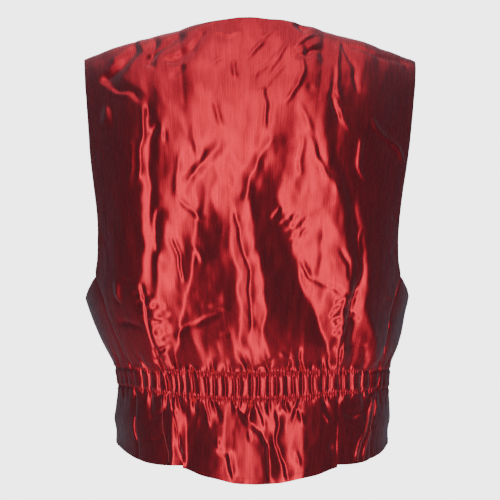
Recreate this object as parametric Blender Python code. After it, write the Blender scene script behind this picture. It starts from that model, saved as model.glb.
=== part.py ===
# A sleeveless vest of shot taffeta, filled out as when it is worn.
# The back is one cloth with two long darts and an elastic casing at the waist.
# Each front reaches round the side to the side seam, which lies behind the arm.
# Metres, +Z up. The front faces -Y and the wearer's left is +X. The origin lies
# midway between the two neck points of the shoulders, level with them.

import math
from collections import namedtuple
from functools import partial

import bmesh
import bpy
import numpy as np
from mathutils import Matrix, Vector

for old in list(bpy.data.objects):
    bpy.data.objects.remove(old, do_unlink=True)

# Sizes that drive the rest
WALL = 0.0014
SEAM_GAP = 0.0003
NECK_HALF = 0.089
NECK_RISE = 0.0115
NECK_ARCH = 2.2
SHOULDER_HALF = 0.205
SHOULDER_DROP = 0.0344
SHOULDER_FULLNESS = 0.002
RIDGE_AT_CENTRE = 0.062
RIDGE_AT_NECK = 0.016
RIDGE_AT_TIP = -0.004
SHAPED_TO = -0.160
BACK_SQUARENESS = 2.6
FRONT_SQUARENESS = 2.2
BODY_CENTRE = Vector((0.0, 0.0, -0.25))
CURLED_EDGE = 0.1
TINY = 1e-6

# The waist casing and its gathers
CASING_TOP = -0.417
CASING_BOTTOM = -0.446
GATHER_HEIGHT = 0.0024
GATHER_UNEVENNESS = 0.35
GATHER_FADE = 0.020
HEM_FROM = -0.466

# The fronts
OVERLAP_HALF = 0.012
NECK_POINT_LEVEL = -0.235
UNDERLAP_GAP = 0.0005
UNDERLAP_FADE = 0.024
ARMHOLE_CORNER = -0.312
SIDE_COLUMN_ANGLE = math.radians(110)
UNDERARM_DIP = 0.0185
ARMHOLE_HOLLOW_POWER = 3

# The buttons
BUTTON_RADIUS = 0.0075
BUTTON_THICKNESS = 0.0026
BUTTON_RIM = 0.0018
BUTTON_ROUNDING = 0.0007
BUTTON_DISH = 0.0007
BUTTON_SIDES = 18
BUTTON_COUNT = 5
FIRST_BUTTON = -0.252
BUTTON_SPACING = 0.045

# Grid of the cloth: columns from centre back to a side edge, and those that are guides
BACK_CELLS = 16
NECK_CELL = 6
DART_CELL = 10
FRONT_CELLS = 10
SIDE_CELLS = 8
GATHERED_SIDE_CELLS = 6
DART_DEPTH = 0.0016

# Horizontal rings of the body, from the hem up. Sway is how far the ring sits to +X.
Girth = namedtuple("Girth", "level half_width back_depth front_depth sway")
GIRTHS = [
    Girth(-0.560, 0.1660, 0.1180, 0.1160, -0.0030),
    Girth(-0.512, 0.1665, 0.1140, 0.1155, -0.0025),
    Girth(-0.490, 0.1690, 0.1100, 0.1140, -0.0027),
    Girth(-0.451, 0.1680, 0.1035, 0.1120, -0.0040),
    Girth(-0.431, 0.1675, 0.1010, 0.1120, -0.0045),
    Girth(-0.412, 0.1700, 0.1050, 0.1130, -0.0035),
    Girth(-0.3915, 0.1780, 0.1130, 0.1150, -0.0022),
    Girth(-0.372, 0.1845, 0.1170, 0.1180, 0.0000),
    Girth(-0.352, 0.1900, 0.1190, 0.1200, 0.0025),
    Girth(-0.322, 0.1985, 0.1200, 0.1220, 0.0038),
    Girth(-0.300, 0.2005, 0.1205, 0.1230, 0.0045),
    Girth(-0.250, 0.2050, 0.1215, 0.1250, 0.0048),
    Girth(-0.160, 0.2140, 0.1240, 0.1240, 0.0038),
    Girth(-0.050, 0.2280, 0.1220, 0.1200, 0.0005),
    Girth(0.020, 0.2350, 0.1200, 0.1180, 0.0000),
]

# Half width of the back at its edge: the side seam, and above it the armhole
BackEdge = namedtuple("BackEdge", "level half_width")
BACK_EDGE = [
    BackEdge(-0.548, 0.1385),
    BackEdge(-0.520, 0.1396),
    BackEdge(-0.490, 0.1434),
    BackEdge(-0.446, 0.1457),
    BackEdge(-0.400, 0.1562),
    BackEdge(-0.360, 0.1673),
    BackEdge(-0.325, 0.1775),
    BackEdge(-0.302, 0.1845),
    BackEdge(-0.282, 0.1822),
    BackEdge(-0.248, 0.1818),
    BackEdge(-0.215, 0.1842),
    BackEdge(-0.185, 0.1876),
    BackEdge(-0.160, 0.1912),
]

# Where the two darts run, as half widths
Dart = namedtuple("Dart", "level left right")
DARTS = [
    Dart(-0.530, 0.0870, 0.0980),
    Dart(-0.479, 0.0960, 0.0985),
    Dart(-0.443, 0.1025, 0.0985),
    Dart(-0.411, 0.1090, 0.0990),
    Dart(-0.384, 0.1170, 0.1040),
    Dart(-0.360, 0.1205, 0.1130),
    Dart(-0.336, 0.1220, 0.1210),
    Dart(-0.315, 0.1260, 0.1260),
    Dart(-0.160, 0.1220, 0.1220),
]
DART_TOP = -0.310
DART_FADE = 0.020

# Hem of the back against the share of the way to the side seam. The panel between the
# darts is longer, so the hem has a step at each dart.
Hem = namedtuple("Hem", "share level")
CENTRE_HEM = [
    Hem(0.00, -0.5480),
    Hem(0.20, -0.5460),
    Hem(0.33, -0.5415),
    Hem(0.47, -0.5370),
    Hem(0.56, -0.5320),
    Hem(0.625, -0.5290),
]
SIDE_HEM = [
    Hem(0.625, -0.5262),
    Hem(0.80, -0.5260),
    Hem(0.92, -0.5240),
    Hem(1.00, -0.5215),
]
HEM_STEP = 0.006

# Hem of a front: share 0 is its front edge, 1 the column under the armhole's front
# corner, and 2 the side seam
FRONT_HEM = [
    Hem(0.00, -0.5150),
    Hem(0.50, -0.5120),
    Hem(1.00, -0.5090),
    Hem(1.50, -0.5080),
    Hem(1.75, -0.5130),
    Hem(2.00, -0.5215),
]

# Half width of a front at the armhole's front edge
FrontEdge = namedtuple("FrontEdge", "level half_width")
FRONT_EDGE = [
    FrontEdge(-0.300, 0.1835),
    FrontEdge(-0.285, 0.1775),
    FrontEdge(-0.270, 0.1725),
    FrontEdge(-0.250, 0.1682),
    FrontEdge(-0.220, 0.1655),
    FrontEdge(-0.160, 0.1665),
    FrontEdge(-0.120, 0.1710),
    FrontEdge(-0.080, 0.1810),
    FrontEdge(-0.0344, 0.2050),
]

# Rows of the back below the shoulder shaping. Columns is how many there are to a gather.
Row = namedtuple("Row", "level columns")
BACK_ROWS = [
    Row(-0.182, 1),
    Row(-0.205, 1),
    Row(-0.229, 1),
    Row(-0.253, 1),
    Row(-0.278, 1),
    Row(-0.302, 1),
    Row(-0.320, 1),
    Row(-0.340, 1),
    Row(-0.360, 1),
    Row(-0.380, 1),
    Row(-0.396, 1),
    Row(-0.407, 2),
    Row(CASING_TOP, 4),
    Row(-0.4250, 4),
    Row(-0.4380, 4),
    Row(CASING_BOTTOM, 4),
    Row(-0.456, 2),
    Row(HEM_FROM, 1),
    Row(-0.486, 1),
    Row(-0.507, 1),
    Row(-0.528, 1),
    Row(-0.548, 1),
]
SHAPED_ROWS = 7
SIDE_SEAM_TOP = 5

# Rows of a front above the armhole's corner
FRONT_UPPER_LEVELS = [-0.185, -0.210, NECK_POINT_LEVEL, -0.255, -0.272, -0.287, -0.300]
# Levels at the front of the rows that meet the top of the side seam
FRONT_LEAD_LEVELS = [ARMHOLE_CORNER, -0.330, -0.346, -0.361]
DIP_SHARES = [1.0, 0.5, 0.2, 0.0]

# The largest folds are creases that run down the cloth, with flat facets between them.
# Each row gives one crease: how far around the cloth from the centre back it lies at
# each level, and how far it stands out there (in metres, less than zero for a trough).
Crease = namedtuple("Crease", "around lift")
FOLD_LEVELS = [-0.060, -0.110, -0.160, -0.210, -0.250, -0.295, -0.335, -0.370, -0.400]
FOLDS = [
    # Right front, beside the buttons and under the arm
    Crease(
        [-0.440, -0.444, -0.446, -0.448, -0.448, -0.446, -0.444, -0.440, -0.436],
        [0.000, -0.001, -0.002, -0.003, -0.003, -0.002, -0.002, -0.002, -0.001],
    ),
    Crease(
        [-0.410, -0.408, -0.404, -0.402, -0.402, -0.404, -0.406, -0.404, -0.400],
        [0.000, 0.002, 0.003, 0.004, 0.004, 0.004, 0.003, 0.003, 0.001],
    ),
    Crease(
        [-0.290, -0.290, -0.290, -0.290, -0.290, -0.292, -0.294, -0.296, -0.296],
        [0.000, 0.000, 0.000, 0.000, 0.000, 0.002, 0.004, 0.004, 0.002],
    ),
    # Right of the back: a crest by the dart, the trough at the dart, the blade's crest
    Crease(
        [-0.088, -0.097, -0.106, -0.119, -0.125, -0.129, -0.135, -0.148, -0.156],
        [0.000, 0.000, 0.001, 0.001, 0.003, 0.005, 0.005, 0.004, 0.002],
    ),
    Crease(
        [-0.079, -0.087, -0.095, -0.112, -0.118, -0.121, -0.121, -0.123, -0.121],
        [0.000, 0.000, 0.000, 0.000, 0.001, 0.001, 0.000, -0.001, 0.000],
    ),
    Crease(
        [-0.073, -0.078, -0.085, -0.106, -0.111, -0.112, -0.114, -0.112, -0.110],
        [0.001, 0.002, 0.002, 0.003, 0.004, 0.005, 0.005, 0.003, 0.001],
    ),
    # The wide trough right of the middle
    Crease(
        [-0.023, -0.029, -0.034, -0.036, -0.045, -0.053, -0.072, -0.087, -0.100],
        [0.000, 0.000, -0.001, -0.004, -0.005, -0.006, -0.006, -0.005, -0.001],
    ),
    # The double ridge down the middle
    Crease(
        [0.001, -0.003, -0.007, -0.006, -0.003, -0.010, -0.014, -0.017, -0.019],
        [0.000, 0.000, 0.001, 0.005, 0.006, 0.007, 0.007, 0.006, 0.003],
    ),
    Crease(
        [0.031, 0.028, 0.024, 0.020, 0.021, 0.016, 0.013, 0.012, 0.013],
        [0.000, 0.000, 0.000, 0.002, 0.006, 0.006, 0.006, 0.005, 0.002],
    ),
    # The trough left of the middle
    Crease(
        [0.068, 0.064, 0.059, 0.057, 0.057, 0.063, 0.070, 0.086, 0.098],
        [0.000, 0.000, 0.000, 0.000, -0.004, -0.006, -0.005, -0.004, -0.001],
    ),
    # Left of the back: the two crests of the blade
    Crease(
        [0.104, 0.097, 0.097, 0.098, 0.098, 0.101, 0.104, 0.105, 0.108],
        [0.001, 0.003, 0.004, 0.004, 0.005, 0.005, 0.004, 0.003, 0.001],
    ),
    Crease(
        [0.116, 0.113, 0.112, 0.114, 0.117, 0.118, 0.121, 0.126, 0.130],
        [0.001, 0.003, 0.004, 0.005, 0.006, 0.006, 0.005, 0.004, 0.002],
    ),
    # Left front, under the arm and beside the buttons
    Crease(
        [0.300, 0.300, 0.300, 0.300, 0.300, 0.300, 0.298, 0.296, 0.294],
        [0.000, 0.000, 0.000, 0.000, 0.000, 0.003, 0.004, 0.004, 0.002],
    ),
    Crease(
        [0.404, 0.402, 0.398, 0.396, 0.394, 0.394, 0.392, 0.392, 0.392],
        [0.000, 0.002, 0.003, 0.003, 0.004, 0.004, 0.004, 0.003, 0.001],
    ),
    Crease(
        [0.436, 0.438, 0.438, 0.438, 0.436, 0.436, 0.434, 0.432, 0.430],
        [0.000, -0.001, -0.002, -0.002, -0.003, -0.003, -0.003, -0.002, -0.001],
    ),
]
SKIRT_LEVELS = [-0.466, -0.500, -0.548]
SKIRT_FOLDS = [
    Crease([-0.400, -0.404, -0.408], [0.001, 0.003, 0.004]),
    Crease([-0.330, -0.330, -0.330], [-0.001, -0.002, -0.003]),
    Crease([-0.290, -0.286, -0.282], [0.001, 0.003, 0.003]),
    Crease([-0.066, -0.062, -0.058], [0.002, 0.003, 0.003]),
    Crease([-0.040, -0.040, -0.044], [-0.001, -0.001, 0.001]),
    Crease([-0.014, -0.024, -0.024], [0.001, -0.002, -0.003]),
    Crease([0.030, 0.027, 0.021], [0.002, 0.003, 0.004]),
    Crease([0.070, 0.072, 0.074], [-0.002, -0.003, -0.002]),
    Crease([0.280, 0.284, 0.288], [0.001, 0.003, 0.004]),
    Crease([0.335, 0.332, 0.330], [-0.001, -0.002, -0.003]),
    Crease([0.405, 0.400, 0.396], [0.001, 0.003, 0.004]),
]
FOLDS_FADE = 0.020
FOLDS_START = 0.4
CENTRE_FRONT_CLEAR = 0.470
# Steps that measure which way the cloth faces and where its edges lie
MEASURE_STEP = 0.002
EDGE_STEP = 0.01
SHARP_CLOTH = math.radians(50)
SHARP_RESIN = math.radians(35)


def curve(knots, values, at):
    """A smooth curve through a short table: cubics whose slopes follow the rows around."""
    knots = np.asarray(knots)
    values = np.asarray(values)
    slopes = np.gradient(values, knots)
    index = int(np.clip(np.searchsorted(knots, at) - 1, 0, len(knots) - 2))
    span = knots[index + 1] - knots[index]
    t = min(max((at - knots[index]) / span, 0.0), 1.0)
    start = (2 * t**3 - 3 * t**2 + 1) * values[index]
    end = (3 * t**2 - 2 * t**3) * values[index + 1]
    leave = (t**3 - 2 * t**2 + t) * span * slopes[index]
    arrive = (t**3 - t**2) * span * slopes[index + 1]
    return float(start + end + leave + arrive)


def from_table(table, column, level):
    """The value of one named column of a table at a level or share."""
    knots = [row[0] for row in table]
    values = [getattr(row, column) for row in table]
    return curve(knots, values, level)


def ease(t):
    """Goes from 0 to 1 with no slope at either end."""
    t = min(max(t, 0.0), 1.0)
    return t * t * (3 - 2 * t)


def angle_of(x, level, front=False):
    """The angle from centre back at which the ring is x to the side of its middle."""
    power = FRONT_SQUARENESS if front else BACK_SQUARENESS
    across = x / from_table(GIRTHS, "half_width", level)
    depth = (1 - abs(across) ** power) ** (1 / power)
    angle = math.atan2(across, depth)
    return math.pi - angle if front else angle


def on_ring(angle, level):
    """A point of the body: angle 0 is centre back, half a turn is centre front."""
    sine = math.sin(angle)
    cosine = math.cos(angle)
    power = BACK_SQUARENESS if cosine >= 0 else FRONT_SQUARENESS
    column = "back_depth" if cosine >= 0 else "front_depth"
    reach = (abs(sine) ** power + abs(cosine) ** power) ** (-1 / power)
    x = from_table(GIRTHS, "half_width", level) * reach * sine
    y = from_table(GIRTHS, column, level) * reach * cosine
    return Vector((x + from_table(GIRTHS, "sway", level), y, level))


# Distance around the cloth for an angle, measured once on a ring of middling size
REFERENCE_RING = -0.350
RING_SAMPLES = 400
PAST_CENTRE_FRONT = math.radians(198)
ring_angles = np.linspace(0, PAST_CENTRE_FRONT, RING_SAMPLES)
ring_points = np.array([on_ring(angle, REFERENCE_RING) for angle in ring_angles])
ring_steps = np.linalg.norm(np.diff(ring_points, axis=0), axis=1)
ring_around = np.concatenate(([0], np.cumsum(ring_steps)))


def around_of(angle):
    """Distance around the cloth from the centre back, with the sign of the angle."""
    return math.copysign(float(np.interp(abs(angle), ring_angles, ring_around)), angle)


def top_line(x):
    """Depth and level of the neck edge and shoulder line at a half width."""
    if x <= NECK_HALF:
        share = (x / NECK_HALF) ** NECK_ARCH
        depth = RIDGE_AT_CENTRE + (RIDGE_AT_NECK - RIDGE_AT_CENTRE) * share
        return depth, NECK_RISE * (1 - share)
    share = (x - NECK_HALF) / (SHOULDER_HALF - NECK_HALF)
    depth = RIDGE_AT_NECK + (RIDGE_AT_TIP - RIDGE_AT_NECK) * share
    return depth, -SHOULDER_DROP * share + SHOULDER_FULLNESS * 4 * share * (1 - share)


def over_shoulder(top_x, side, flat, turn, roundness):
    """The cloth between the shoulder line and the level where the shaping ends."""
    depth, level = top_line(top_x)
    down = 1 - math.cos(turn)
    out = math.sin(turn) ** roundness if turn > 0 else math.sin(turn)
    x = side * top_x + (flat.x - side * top_x) * down
    y = depth + (flat.y - depth) * out
    return Vector((x, y, level + (flat.z - level) * down))


def back_angle(share, level):
    """The angle of a column of the back: share is 0 at centre back, 1 or -1 at an edge."""
    side = math.copysign(1, share)
    dart = from_table(DARTS, "left" if side > 0 else "right", level)
    edge = from_table(BACK_EDGE, "half_width", level)
    guides = [0.0, angle_of(dart, level), angle_of(edge, level)]
    return side * float(np.interp(abs(share), [0, DART_CELL / BACK_CELLS, 1], guides))


def back_hem(share):
    """Level of the back's hem, with its step at each dart."""
    if abs(share) < DART_CELL / BACK_CELLS:
        return from_table(CENTRE_HEM, "level", abs(share))
    return from_table(SIDE_HEM, "level", abs(share))


def back_point(share, down):
    """The back without folds. Down is 0 at the top edge and 1 where the shaping ends,
    and beyond that it is 1 and the metres below."""
    side = math.copysign(1, share)
    neck = NECK_CELL / BACK_CELLS
    if down <= 1:
        past_tip = SHOULDER_HALF + (SHOULDER_HALF - NECK_HALF) * CURLED_EDGE
        shares = [0, neck, 1 + (1 - neck) * CURLED_EDGE]
        top_x = float(np.interp(abs(share), shares, [0.0, NECK_HALF, past_tip]))
        flat = on_ring(back_angle(share, SHAPED_TO), SHAPED_TO)
        roundness = 2 - ease(abs(share) / neck)
        return over_shoulder(top_x, side, flat, down * math.pi / 2, roundness)
    level = SHAPED_TO - (down - 1)
    point = on_ring(back_angle(share, level), level)
    if level < HEM_FROM:
        reached = (HEM_FROM - level) / (HEM_FROM - BACK_ROWS[-1].level)
        point.z = HEM_FROM + (back_hem(share) - HEM_FROM) * reached
    return point


def neck_x(level):
    """Half width of the front's edge: the V of the neck, then straight down."""
    if level < NECK_POINT_LEVEL:
        return -OVERLAP_HALF
    return NECK_HALF + (-OVERLAP_HALF - NECK_HALF) * level / NECK_POINT_LEVEL


def front_angle(share, level):
    """The angle of a column of the left front."""
    first = angle_of(neck_x(level), level, front=True)
    if level > ARMHOLE_CORNER + TINY:
        second = angle_of(from_table(FRONT_EDGE, "half_width", level), level, front=True)
        merge = ease((FRONT_EDGE[0].level - level) / (FRONT_EDGE[0].level - ARMHOLE_CORNER))
        second += (SIDE_COLUMN_ANGLE - second) * merge
    else:
        second = SIDE_COLUMN_ANGLE
    if share <= 1:
        return first + (second - first) * share
    third = angle_of(from_table(BACK_EDGE, "half_width", level), level)
    return second + (third - second) * (share - 1)


def front_point(share, down, side):
    """A front without folds, with the same measure down as the back has. Side is 1 for
    the left front and -1 for the right."""
    if down <= 1:
        top_x = NECK_HALF + (SHOULDER_HALF - NECK_HALF) * share
        _, end_level = top_line(top_x)
        turn = down * math.pi / 2
        level = end_level + (SHAPED_TO - end_level) * (1 - math.cos(turn))
        flat = on_ring(side * front_angle(share, SHAPED_TO), SHAPED_TO)
        point = over_shoulder(top_x, side, flat, turn, 1)
        # The armhole's front edge is hollowed between the shoulder tip and the chest.
        edge = from_table(FRONT_EDGE, "half_width", SHAPED_TO)
        straight = SHOULDER_HALF + (edge - SHOULDER_HALF) * (1 - math.cos(turn))
        hollow = from_table(FRONT_EDGE, "half_width", level) - straight
        point.x += side * min(hollow, 0) * share**ARMHOLE_HOLLOW_POWER
        return point
    level = SHAPED_TO - (down - 1)
    if level > ARMHOLE_CORNER + TINY:
        return on_ring(side * front_angle(share, level), level)
    # Rows lean where the armhole's bottom dips between its front corner and the side seam.
    rows = front_lower_rows()
    leads = [row.lead for row in rows]
    index = float(np.interp(-level, [-lead for lead in leads], range(len(rows))))
    trail = float(np.interp(index, range(len(rows)), [row.trail for row in rows]))
    dip = float(np.interp(index, range(len(rows)), [row.dip for row in rows]))
    lean = max(share - 1, 0)
    height = level + (trail - level) * lean**2 - dip * math.sin(math.pi * min(lean, 1.0))
    point = on_ring(side * front_angle(share, height), height)
    if level < HEM_FROM:
        reached = (HEM_FROM - level) / (HEM_FROM - rows[-1].lead)
        point.z = HEM_FROM + (from_table(FRONT_HEM, "level", share) - HEM_FROM) * reached
    return point


LeanRow = namedtuple("LeanRow", "lead trail dip columns")


def front_lower_rows():
    """Rows of a front that reach the side seam, where they meet the back's rows."""
    rows = []
    for index, row in enumerate(BACK_ROWS[SIDE_SEAM_TOP:]):
        lead = FRONT_LEAD_LEVELS[index] if index < len(FRONT_LEAD_LEVELS) else row.level
        dip = UNDERARM_DIP * DIP_SHARES[index] if index < len(DIP_SHARES) else 0.0
        rows.append(LeanRow(lead, row.level, dip, row.columns))
    return rows


def outward(point_at, share, down):
    """The direction straight out of the cloth."""
    across = point_at(share + MEASURE_STEP, down) - point_at(share - MEASURE_STEP, down)
    along = point_at(share, down + MEASURE_STEP) - point_at(share, down - MEASURE_STEP)
    normal = across.cross(along).normalized()
    if normal.dot(point_at(share, down) - BODY_CENTRE) < 0:
        normal.negate()
    return normal


def crease_lift(creases, levels, around, level):
    """How far a set of creases lifts the cloth at a place. It lies as it did at the back's
    edges and round the middle of the front."""
    nearest = max(min(level, SHAPED_TO), BACK_EDGE[0].level)
    edge = around_of(angle_of(from_table(BACK_EDGE, "half_width", nearest), nearest))
    knots = [(side * still, 0.0) for side in (-1, 1) for still in (edge, CENTRE_FRONT_CLEAR)]
    down = [-mark for mark in levels]
    for crease in creases:
        place = np.interp(-level, down, crease.around)
        knots.append((place, np.interp(-level, down, crease.lift)))
    knots.sort()
    return float(np.interp(around, [knot[0] for knot in knots], [knot[1] for knot in knots]))


def fold_height(around, level):
    """How far the largest folds lift or sink the cloth at a place. They end at the casing."""
    if level > CASING_TOP:
        fade = ease((level - CASING_TOP) / FOLDS_FADE)
        return crease_lift(FOLDS, FOLD_LEVELS, around, level) * fade
    fade = ease((CASING_BOTTOM - level) / FOLDS_FADE)
    return crease_lift(SKIRT_FOLDS, SKIRT_LEVELS, around, level) * fade


def gather_height(gather, share, level, reach):
    """Height of one numbered gather, full in the casing and fading beyond it."""
    beyond = max(level - CASING_TOP, CASING_BOTTOM - level, 0.0)
    fade = 1 - ease(beyond / GATHER_FADE)
    # A sine of the number that is itself pushed to and fro never comes round evenly.
    uneven = math.sin(2.4 * gather + 1.0 + 1.7 * math.sin(1.1 * gather))
    size = GATHER_HEIGHT * (1 + GATHER_UNEVENNESS * uneven)
    return size * reach * fade * (math.sin(math.pi * share) ** 2 - 0.5)


def wall(name, rows, material):
    """A closed wall of cloth from rows of points. Each row is a list of (column, outer
    point, inner point), and rows need not have the same columns."""
    points = []
    numbered = []
    for row in rows:
        numbered.append([(column, len(points) + order) for order, (column, _, _) in enumerate(row)])
        points.extend((outer, inner) for _, outer, inner in row)
    faces = []
    for upper, lower in zip(numbered, numbered[1:]):
        faces.extend(between(upper, lower))
    count = len(points)
    mesh = bpy.data.meshes.new(name)
    solid = bmesh.new()
    verts = [solid.verts.new(outer) for outer, _ in points]
    verts += [solid.verts.new(inner) for _, inner in points]
    directed = set()
    for face in faces:
        solid.faces.new([verts[i] for i in face])
        solid.faces.new([verts[i + count] for i in reversed(face)])
        directed.update(zip(face, face[1:] + face[:1]))
    for a, b in directed:
        if (b, a) not in directed:
            solid.faces.new([verts[b], verts[a], verts[a + count], verts[b + count]])
    bmesh.ops.recalc_face_normals(solid, faces=solid.faces)
    bmesh.ops.triangulate(solid, faces=solid.faces)
    solid.to_mesh(mesh)
    solid.free()
    mesh.shade_smooth()
    mesh.set_sharp_from_angle(angle=SHARP_CLOTH)
    mesh.materials.append(material)
    piece = bpy.data.objects.new(name, mesh)
    bpy.context.collection.objects.link(piece)
    return piece


def between(upper, lower):
    """Faces between two rows of (column, number). Where a row has no such column, a
    triangle fills in."""
    faces = []
    i = j = 0
    first = max(upper[0][0], lower[0][0])
    last = min(upper[-1][0], lower[-1][0])
    while upper[i][0] < first - TINY:
        i += 1
    while lower[j][0] < first - TINY:
        j += 1
    while upper[i][0] < last - TINY or lower[j][0] < last - TINY:
        next_upper = upper[i + 1][0] if upper[i][0] < last - TINY else math.inf
        next_lower = lower[j + 1][0] if lower[j][0] < last - TINY else math.inf
        if abs(next_upper - next_lower) < TINY:
            faces.append((upper[i][1], lower[j][1], lower[j + 1][1], upper[i + 1][1]))
            i += 1
            j += 1
        elif next_upper < next_lower:
            faces.append((upper[i][1], lower[j][1], upper[i + 1][1]))
            i += 1
        else:
            faces.append((upper[i][1], lower[j][1], lower[j + 1][1]))
            j += 1
    return faces


def columns(first, last, cells, per_cell):
    """Column numbers from first to last, with so many to each cell."""
    count = cells * per_cell
    return [first + (last - first) * order / count for order in range(count + 1)]


def back_rows():
    """Rows of the back from the neck edge to the hem."""
    downs = [(order / SHAPED_ROWS, 1) for order in range(SHAPED_ROWS + 1)]
    downs += [(1 + SHAPED_TO - row.level, row.columns) for row in BACK_ROWS]
    rows = []
    for down, per_cell in downs:
        shares = columns(-1.0, 1.0, 2 * BACK_CELLS, per_cell)
        if down > 1 + SHAPED_TO - CASING_BOTTOM:
            dart = DART_CELL / BACK_CELLS
            shares = [share for share in shares if abs(abs(share) - dart) > TINY]
            for side in (-1, 1):
                shares += [side * dart - HEM_STEP, side * dart + HEM_STEP]
            shares.sort()
        rows.append([back_vertex(share, down) for share in shares])
    return rows


def back_vertex(share, down):
    """One column of a row of the back, with its folds, dart and gathers."""
    base = back_point(share, down)
    normal = outward(back_point, share, down)
    level = base.z
    around = around_of(back_angle(share, min(level, SHAPED_TO)))
    lift = fold_height(around, level) * ease(down / FOLDS_START)
    dart_near = ease(1 - abs(abs(share) - DART_CELL / BACK_CELLS) * BACK_CELLS)
    lift -= DART_DEPTH * dart_near * ease((DART_TOP - level) / DART_FADE)
    cells = (share + 1) * BACK_CELLS
    gather = math.floor(cells + TINY)
    lift += gather_height(gather, cells - gather, level, 1.0)
    place = base + normal * lift
    if abs(share) > 1 - TINY:
        inside = back_point(share * (1 - EDGE_STEP), down)
        place += (inside - base).normalized() * SEAM_GAP / 2
    if down == 0:
        place += (back_point(share, EDGE_STEP) - base).normalized() * SEAM_GAP / 2
    return share, place, place - normal * WALL


def front_rows(side):
    """Rows of a front. The right one passes under the left at the buttons."""
    rows = []
    upper = [order / SHAPED_ROWS for order in range(SHAPED_ROWS + 1)]
    upper += [1 + SHAPED_TO - level for level in FRONT_UPPER_LEVELS]
    for down in upper:
        shares = columns(0.0, 1.0, FRONT_CELLS, 1)
        rows.append([front_vertex(share, down, side) for share in shares])
    for row in front_lower_rows():
        down = 1 + SHAPED_TO - row.lead
        gathered_from = 2 - GATHERED_SIDE_CELLS / SIDE_CELLS
        plain_cells = SIDE_CELLS - GATHERED_SIDE_CELLS
        shares = columns(0.0, 1.0, FRONT_CELLS, 1)[:-1]
        shares += columns(1.0, gathered_from, plain_cells, 1)[:-1]
        shares += columns(gathered_from, 2.0, GATHERED_SIDE_CELLS, row.columns)
        rows.append([front_vertex(share, down, side) for share in shares])
    return rows


def front_vertex(share, down, side):
    """One column of a row of a front, with its folds and gathers."""
    point_at = partial(front_point, side=side)
    base = point_at(share, down)
    normal = outward(point_at, share, down)
    level = base.z
    around = side * around_of(front_angle(share, min(level, SHAPED_TO)))
    lift = fold_height(around, level) * ease(down / FOLDS_START)
    cells = (2 - share) * SIDE_CELLS
    if cells < GATHERED_SIDE_CELLS:
        gather = math.floor(cells + TINY)
        reach = math.sqrt(1 - cells / GATHERED_SIDE_CELLS)
        lift += gather_height(2 * BACK_CELLS + gather, cells - gather, level, reach)
    if side < 0:
        under = ease((OVERLAP_HALF + UNDERLAP_FADE + base.x) / UNDERLAP_FADE)
        lift -= (WALL + UNDERLAP_GAP) * under
    place = base + normal * lift
    if share > 2 - TINY:
        place += (point_at(share - EDGE_STEP, down) - base).normalized() * SEAM_GAP / 2
    if down == 0:
        place += (point_at(share, EDGE_STEP) - base).normalized() * SEAM_GAP / 2
    return share, place, place - normal * WALL


def button(name, level, material):
    """A round button with a raised rim, lying on the left front at centre front."""
    seat = on_ring(math.pi, level)
    normal = outward(partial(front_point, side=1), 0.0, 1 + SHAPED_TO - level)
    outline = [
        (BUTTON_RADIUS - BUTTON_ROUNDING, 0.0),
        (BUTTON_RADIUS, BUTTON_ROUNDING),
        (BUTTON_RADIUS, BUTTON_THICKNESS - BUTTON_ROUNDING),
        (BUTTON_RADIUS - BUTTON_ROUNDING, BUTTON_THICKNESS),
        (BUTTON_RADIUS - BUTTON_RIM, BUTTON_THICKNESS),
        (BUTTON_RADIUS - BUTTON_RIM - BUTTON_DISH, BUTTON_THICKNESS - BUTTON_DISH),
    ]
    solid = bmesh.new()
    rings = []
    for ring_radius, height in outline:
        ring = []
        for order in range(BUTTON_SIDES):
            turn = 2 * math.pi * order / BUTTON_SIDES
            place = (ring_radius * math.cos(turn), ring_radius * math.sin(turn), height)
            ring.append(solid.verts.new(place))
        rings.append(ring)
    for lower, upper in zip(rings, rings[1:]):
        for order in range(BUTTON_SIDES):
            following = (order + 1) % BUTTON_SIDES
            solid.faces.new([lower[order], lower[following], upper[following], upper[order]])
    solid.faces.new(list(reversed(rings[0])))
    solid.faces.new(rings[-1])
    facing = Vector((0, normal.y, normal.z)).normalized()
    turned = facing.to_track_quat("Z", "Y").to_matrix().to_4x4()
    lifted = Matrix.Translation(seat + facing * SEAM_GAP)
    bmesh.ops.transform(solid, matrix=lifted @ turned, verts=solid.verts)
    bmesh.ops.recalc_face_normals(solid, faces=solid.faces)
    mesh = bpy.data.meshes.new(name)
    solid.to_mesh(mesh)
    solid.free()
    mesh.shade_smooth()
    mesh.set_sharp_from_angle(angle=SHARP_RESIN)
    mesh.materials.append(material)
    piece = bpy.data.objects.new(name, mesh)
    bpy.context.collection.objects.link(piece)
    return piece


def finish(name, colour, roughness, metallic):
    """A plain material in the part's colour."""
    material = bpy.data.materials.new(name)
    material.use_nodes = True
    shader = material.node_tree.nodes["Principled BSDF"]
    shader.inputs["Base Color"].default_value = (*colour, 1.0)
    shader.inputs["Roughness"].default_value = roughness
    shader.inputs["Metallic"].default_value = metallic
    return material


taffeta = finish("taffeta", (0.30, 0.030, 0.045), 0.35, 0.0)
resin = finish("resin", (0.045, 0.010, 0.012), 0.25, 0.0)

wall("back", back_rows(), taffeta)
wall("front_left", front_rows(1), taffeta)
wall("front_right", front_rows(-1), taffeta)
for order in range(BUTTON_COUNT):
    button(f"button_{order + 1}", FIRST_BUTTON - BUTTON_SPACING * order, resin)
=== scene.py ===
import math
from collections import namedtuple
from functools import partial

import bmesh
import bpy
import numpy as np
from mathutils import Matrix, Vector


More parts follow.
